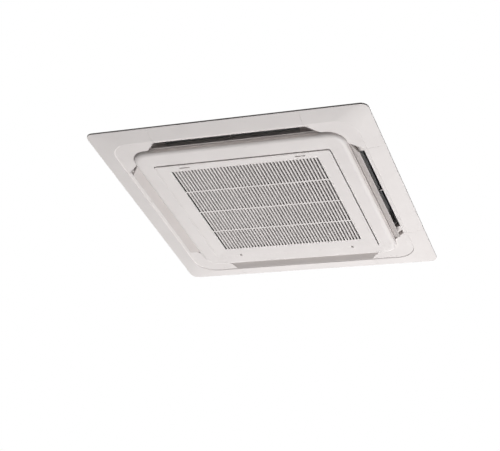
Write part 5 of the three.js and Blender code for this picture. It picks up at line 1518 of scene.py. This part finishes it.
dress(makeBellMouth(), "blackMoulding", "unit", ["bell_mouth"])
dress(makeFan(), "blackMoulding", "fan", ["turbo_fan"], angle=38)
nut = hexNut("fanNut", fanNut["height"], fanNut["across"], fanNut["bore"])
dress(moved(nut, 0, 0, fanNut["level"]), "brass", "fan", ["fan_nut"])
start, end = (0, 0, motorShaft["start"]), (0, 0, motorShaft["end"])
shaft = rod("motorShaft", start, end, motorShaft["radius"], 40, motorShaft["ease"])
dress(shaft, "steel", "fan", ["motor_shaft"])
dress(makeFanMotor(), "steel", "unit", ["fan_motor"], soft=0.3)
dressCopy("motor_bracket", "steel", 0.5)
for k in range(mountPlace["count"]):
    mount = makeRubberMount("rubberMount_%d" % (k + 1), k)
    dress(mount, "rubber", "unit", ["rubber_mount_%d" % (k + 1)])
print("bell mouth, fan and motor made")

# the heat exchanger: thin fins round a rounded square, with copper tubes through them
coil = {
    "mean": 314, "meanRadius": 75, "depth": 40, "base": 29.3, "height": 208, "openAt": 244, "finPitch": 2.3,
    "fin": 0.22, "rows": (304, 321.2), "levels": (18, 43, 68, 93, 118, 143, 168, 193),
    "tube": 4.0, "tubePitch": 22,
    "plate": 1.6, "plateY": (295, 330.8), "plateGap": 0.3,
    "bend": 4.8, "bendLevels": (18, 68, 118), "bendSpan": 25,
    "bendLead": 6, "bendReach": 12, "bendSteps": 8,
}


def coilPath(half, radius, pitch):
    # points with their turn, counter-clockwise from the open corner's left end round to its far end
    straight, quarter, edge = half - radius, math.pi / 2, min(coil["openAt"], half - radius)
    spots = []

    def line(turn, start, end):
        count = max(int(abs(end - start) / pitch), 1)
        c, s = math.cos(turn), math.sin(turn)
        for i in range(count + 1):
            y = start + (end - start) * i / count
            spots.append(((half * c - y * s, half * s + y * c), turn + quarter))

    def bend(turn):
        count = max(int(quarter * radius / pitch), 2)
        c, s = math.cos(turn), math.sin(turn)
        cx, cy = straight * (c - s), straight * (s + c)
        for i in range(1, count):
            angle = turn + i / count * math.pi / 2
            spots.append(((cx + radius * math.cos(angle), cy + radius * math.sin(angle)), angle + quarter))

    line(2 * quarter, -edge, straight)
    for side in (3, 4, 5):
        bend((side - 1) * quarter)
        line(side * quarter, -straight, straight if side < 5 else edge)
    return spots


def tube(name, points, radius, steps=12, smooth=0):
    # a round tube along the points, with its ends closed
    path = [Vector(point) for point in points]
    for _ in range(smooth):
        finer = [path[0]]
        for a, b in zip(path, path[1:]):
            finer += [a.lerp(b, 0.25), a.lerp(b, 0.75)]
        path = finer + [path[-1]]
    side = None
    loops = []
    for i, point in enumerate(path):
        along = (path[min(i + 1, len(path) - 1)] - path[max(i - 1, 0)]).normalized()
        side = side or along.cross(Vector((0.3, 0.2, 1))).normalized()
        side = (side - along * side.dot(along)).normalized()
        up = along.cross(side)
        angles = [2 * math.pi * k / steps for k in range(steps)]
        loops.append([tuple(point + radius * (math.cos(angle) * side + math.sin(angle) * up))
                      for angle in angles])
    return stack(name, loops)


def makeFins():
    c = coil
    thick, deep, high = c["fin"] / 2, c["depth"] / 2, c["height"] / 2
    fin = block("fin", -thick, -deep, -high, thick, deep, high)
    path = coilPath(c["mean"], c["meanRadius"], c["finPitch"])
    points = [((x, y, c["base"] + high), (0, 0, turn)) for (x, y), turn in path]
    return repeat("heatExchanger", turnTree, fin, "aluminium", points, Size=1.0)


def makeCoilTubes():
    c = coil
    tubes = []
    for row in c["rows"]:
        path = [spot for spot, turn in coilPath(row, c["meanRadius"] + row - c["mean"], c["tubePitch"])]
        for level in c["levels"]:
            tubes.append(tube("coilTube", [(x, y, c["base"] + level) for x, y in path], c["tube"], 8))
    return merged("coilTubes", tubes)


def makeCoilEnd(name):
    # drawn on the end that faces left, with its return bends
    c = coil
    x = -c["openAt"] - c["plateGap"]
    start, span, lead, steps = x - c["plate"], c["bendSpan"], c["bendLead"], c["bendSteps"]
    (y0, y1), z0, z1 = c["plateY"], c["base"] + 2, c["base"] + c["height"] - 2
    plate = block(name, start, y0, z0, x, y1, z1)
    for level in c["bendLevels"]:
        for y in c["rows"]:
            z = c["base"] + level
            bow = [(start + 0.5, y, z), (start - lead, y, z)]
            for k in range(1, steps):
                angle = k / steps * math.pi
                reach = start - lead - c["bendReach"] * math.sin(angle)
                bow.append((reach, y, z + span / 2 * (1 - math.cos(angle))))
            bow += [(start - lead, y, z + span), (start + 0.5, y, z + span)]
            plate = join(plate, tube("bend", bow, c["bend"], 16))
    return plate


dress(makeFins(), "aluminium", "unit", ["heat_exchanger"], angle=30)
dress(makeCoilTubes(), "copper", "unit", [], angle=60)
dress(makeCoilEnd("coilEndFar"), "copper", "unit", ["coil_end_plate_far"], angle=40)
# the other end is its mirror image across the diagonal
leftEnd = makeCoilEnd("coilEndLeft")
leftEnd.data.transform(Matrix(((0, -1, 0, 0), (-1, 0, 0, 0), (0, 0, 1, 0), (0, 0, 0, 1))))
faceOut(leftEnd)
dress(leftEnd, "copper", "unit", ["coil_end_plate_left"], angle=40)
print("heat exchanger made")

# refrigerant pipes with their flare nuts
pipes = {
    "start": -246.2, "rowY": 312.6, "wall": 420, "reach": 452,
    "gas": {"x": -298, "z": 176, "radius": 7.9}, "liquid": {"x": -268, "z": 208, "radius": 4.8},
    "nutLength": 2.4, "nutAcross": 1.75, "nutGap": 0.3, "nutPast": 2,
}


def makePipe(name, x, z, radius):
    q = pipes
    y, start = q["rowY"], q["start"]
    path = [(start, y, z), ((start + x) / 2, y, z), (x + 6, y + 2, z), (x, y + 12, z), (x, y + 30, z),
            (x, q["wall"], z), (x, q["reach"], z)]
    dress(tube(name, path, radius, 28, 2), "copper", "unit", [name], angle=50)


def makeFlareNut(name, x, z, radius):
    q = pipes
    length = q["nutLength"] * radius
    nut = hexNut(name + "Dressed", length + q["nutPast"], q["nutAcross"] * radius, radius + q["nutGap"])
    dress(laid(nut, -90, "X", x, q["reach"] - length, z), "brass", "unit", [name])


for kind in ("gas", "liquid"):
    makePipe(kind + "_pipe", **pipes[kind])
for kind in ("gas", "liquid"):
    makeFlareNut(kind + "_flare_nut", **pipes[kind])

# the drain outlet: a hose from the pump and a barbed spigot on the cabinet's left side
drainOutlet = {
    "route": [(-356, 328.7, 127.3), (-366, 326.7, 127.3), (-376, 310.7, 139.3), (-380, 297.5, 178),
              (-403.2, 287.5, 186), (-440, 287.5, 186)],
    "hose": 8.5, "end": (-452, 287.5, 186), "length": 35, "root": 11.6, "barb": 12.5,
    "bore": 9.4, "boreDepth": 18,
}


def makeDrainOutlet():
    q = drainOutlet
    root, barb, bore, depth = q["root"], q["barb"], q["bore"], q["boreDepth"]
    hose = tube("drainOutlet", q["route"], q["hose"], 28, 3)
    spigot = turned("spigot", softened([
        (0, q["length"], 0), (root, q["length"], 0.8), (root, 24, 0),
        (barb, 23, 0), (barb, 21, 0.4), (root, 20, 0),
        (root, 12, 0), (barb, 11, 0), (root, 8, 0), (barb, 7, 0), (root, 4, 0),
        (12.2, 0.5, 0), (root, 0, 0.3),
        (bore, 0, 0), (bore, depth, 0), (0, depth, 0)], 3), 48)
    return join(hose, laid(spigot, 90, "Y", *q["end"]))


dress(makeDrainOutlet(), "greyMoulding", "unit", ["drain_outlet"], angle=50)
print("pipes and drain outlet made")

# the control box beside the bell mouth
boxScrew = {"radius": 3, "x": (-261, -221), "y": (-140, 140), "level": 15.4}
for node, finish, soft in (("control_box", "steel", 0.4), ("control_box_cover", "steel", 0.4),
                           ("control_board", "board", 0.3), ("terminal_block", "blackMoulding", 0.6)):
    dressCopy(node, finish, soft)
spots = [((x, y, boxScrew["level"]), (0, 0, -1)) for x in boxScrew["x"] for y in boxScrew["y"]]
boxScrews = repeat("boxScrews", pointTree, screwPiece(boxScrew["radius"]), "steel", spots, Size=1.0)
dress(boxScrews, "steel", "unit", [], angle=40)
print("control box made")

for name, node in frame["nodes"].items():
    if not node.hide_render:
        print("left as packed:", name)
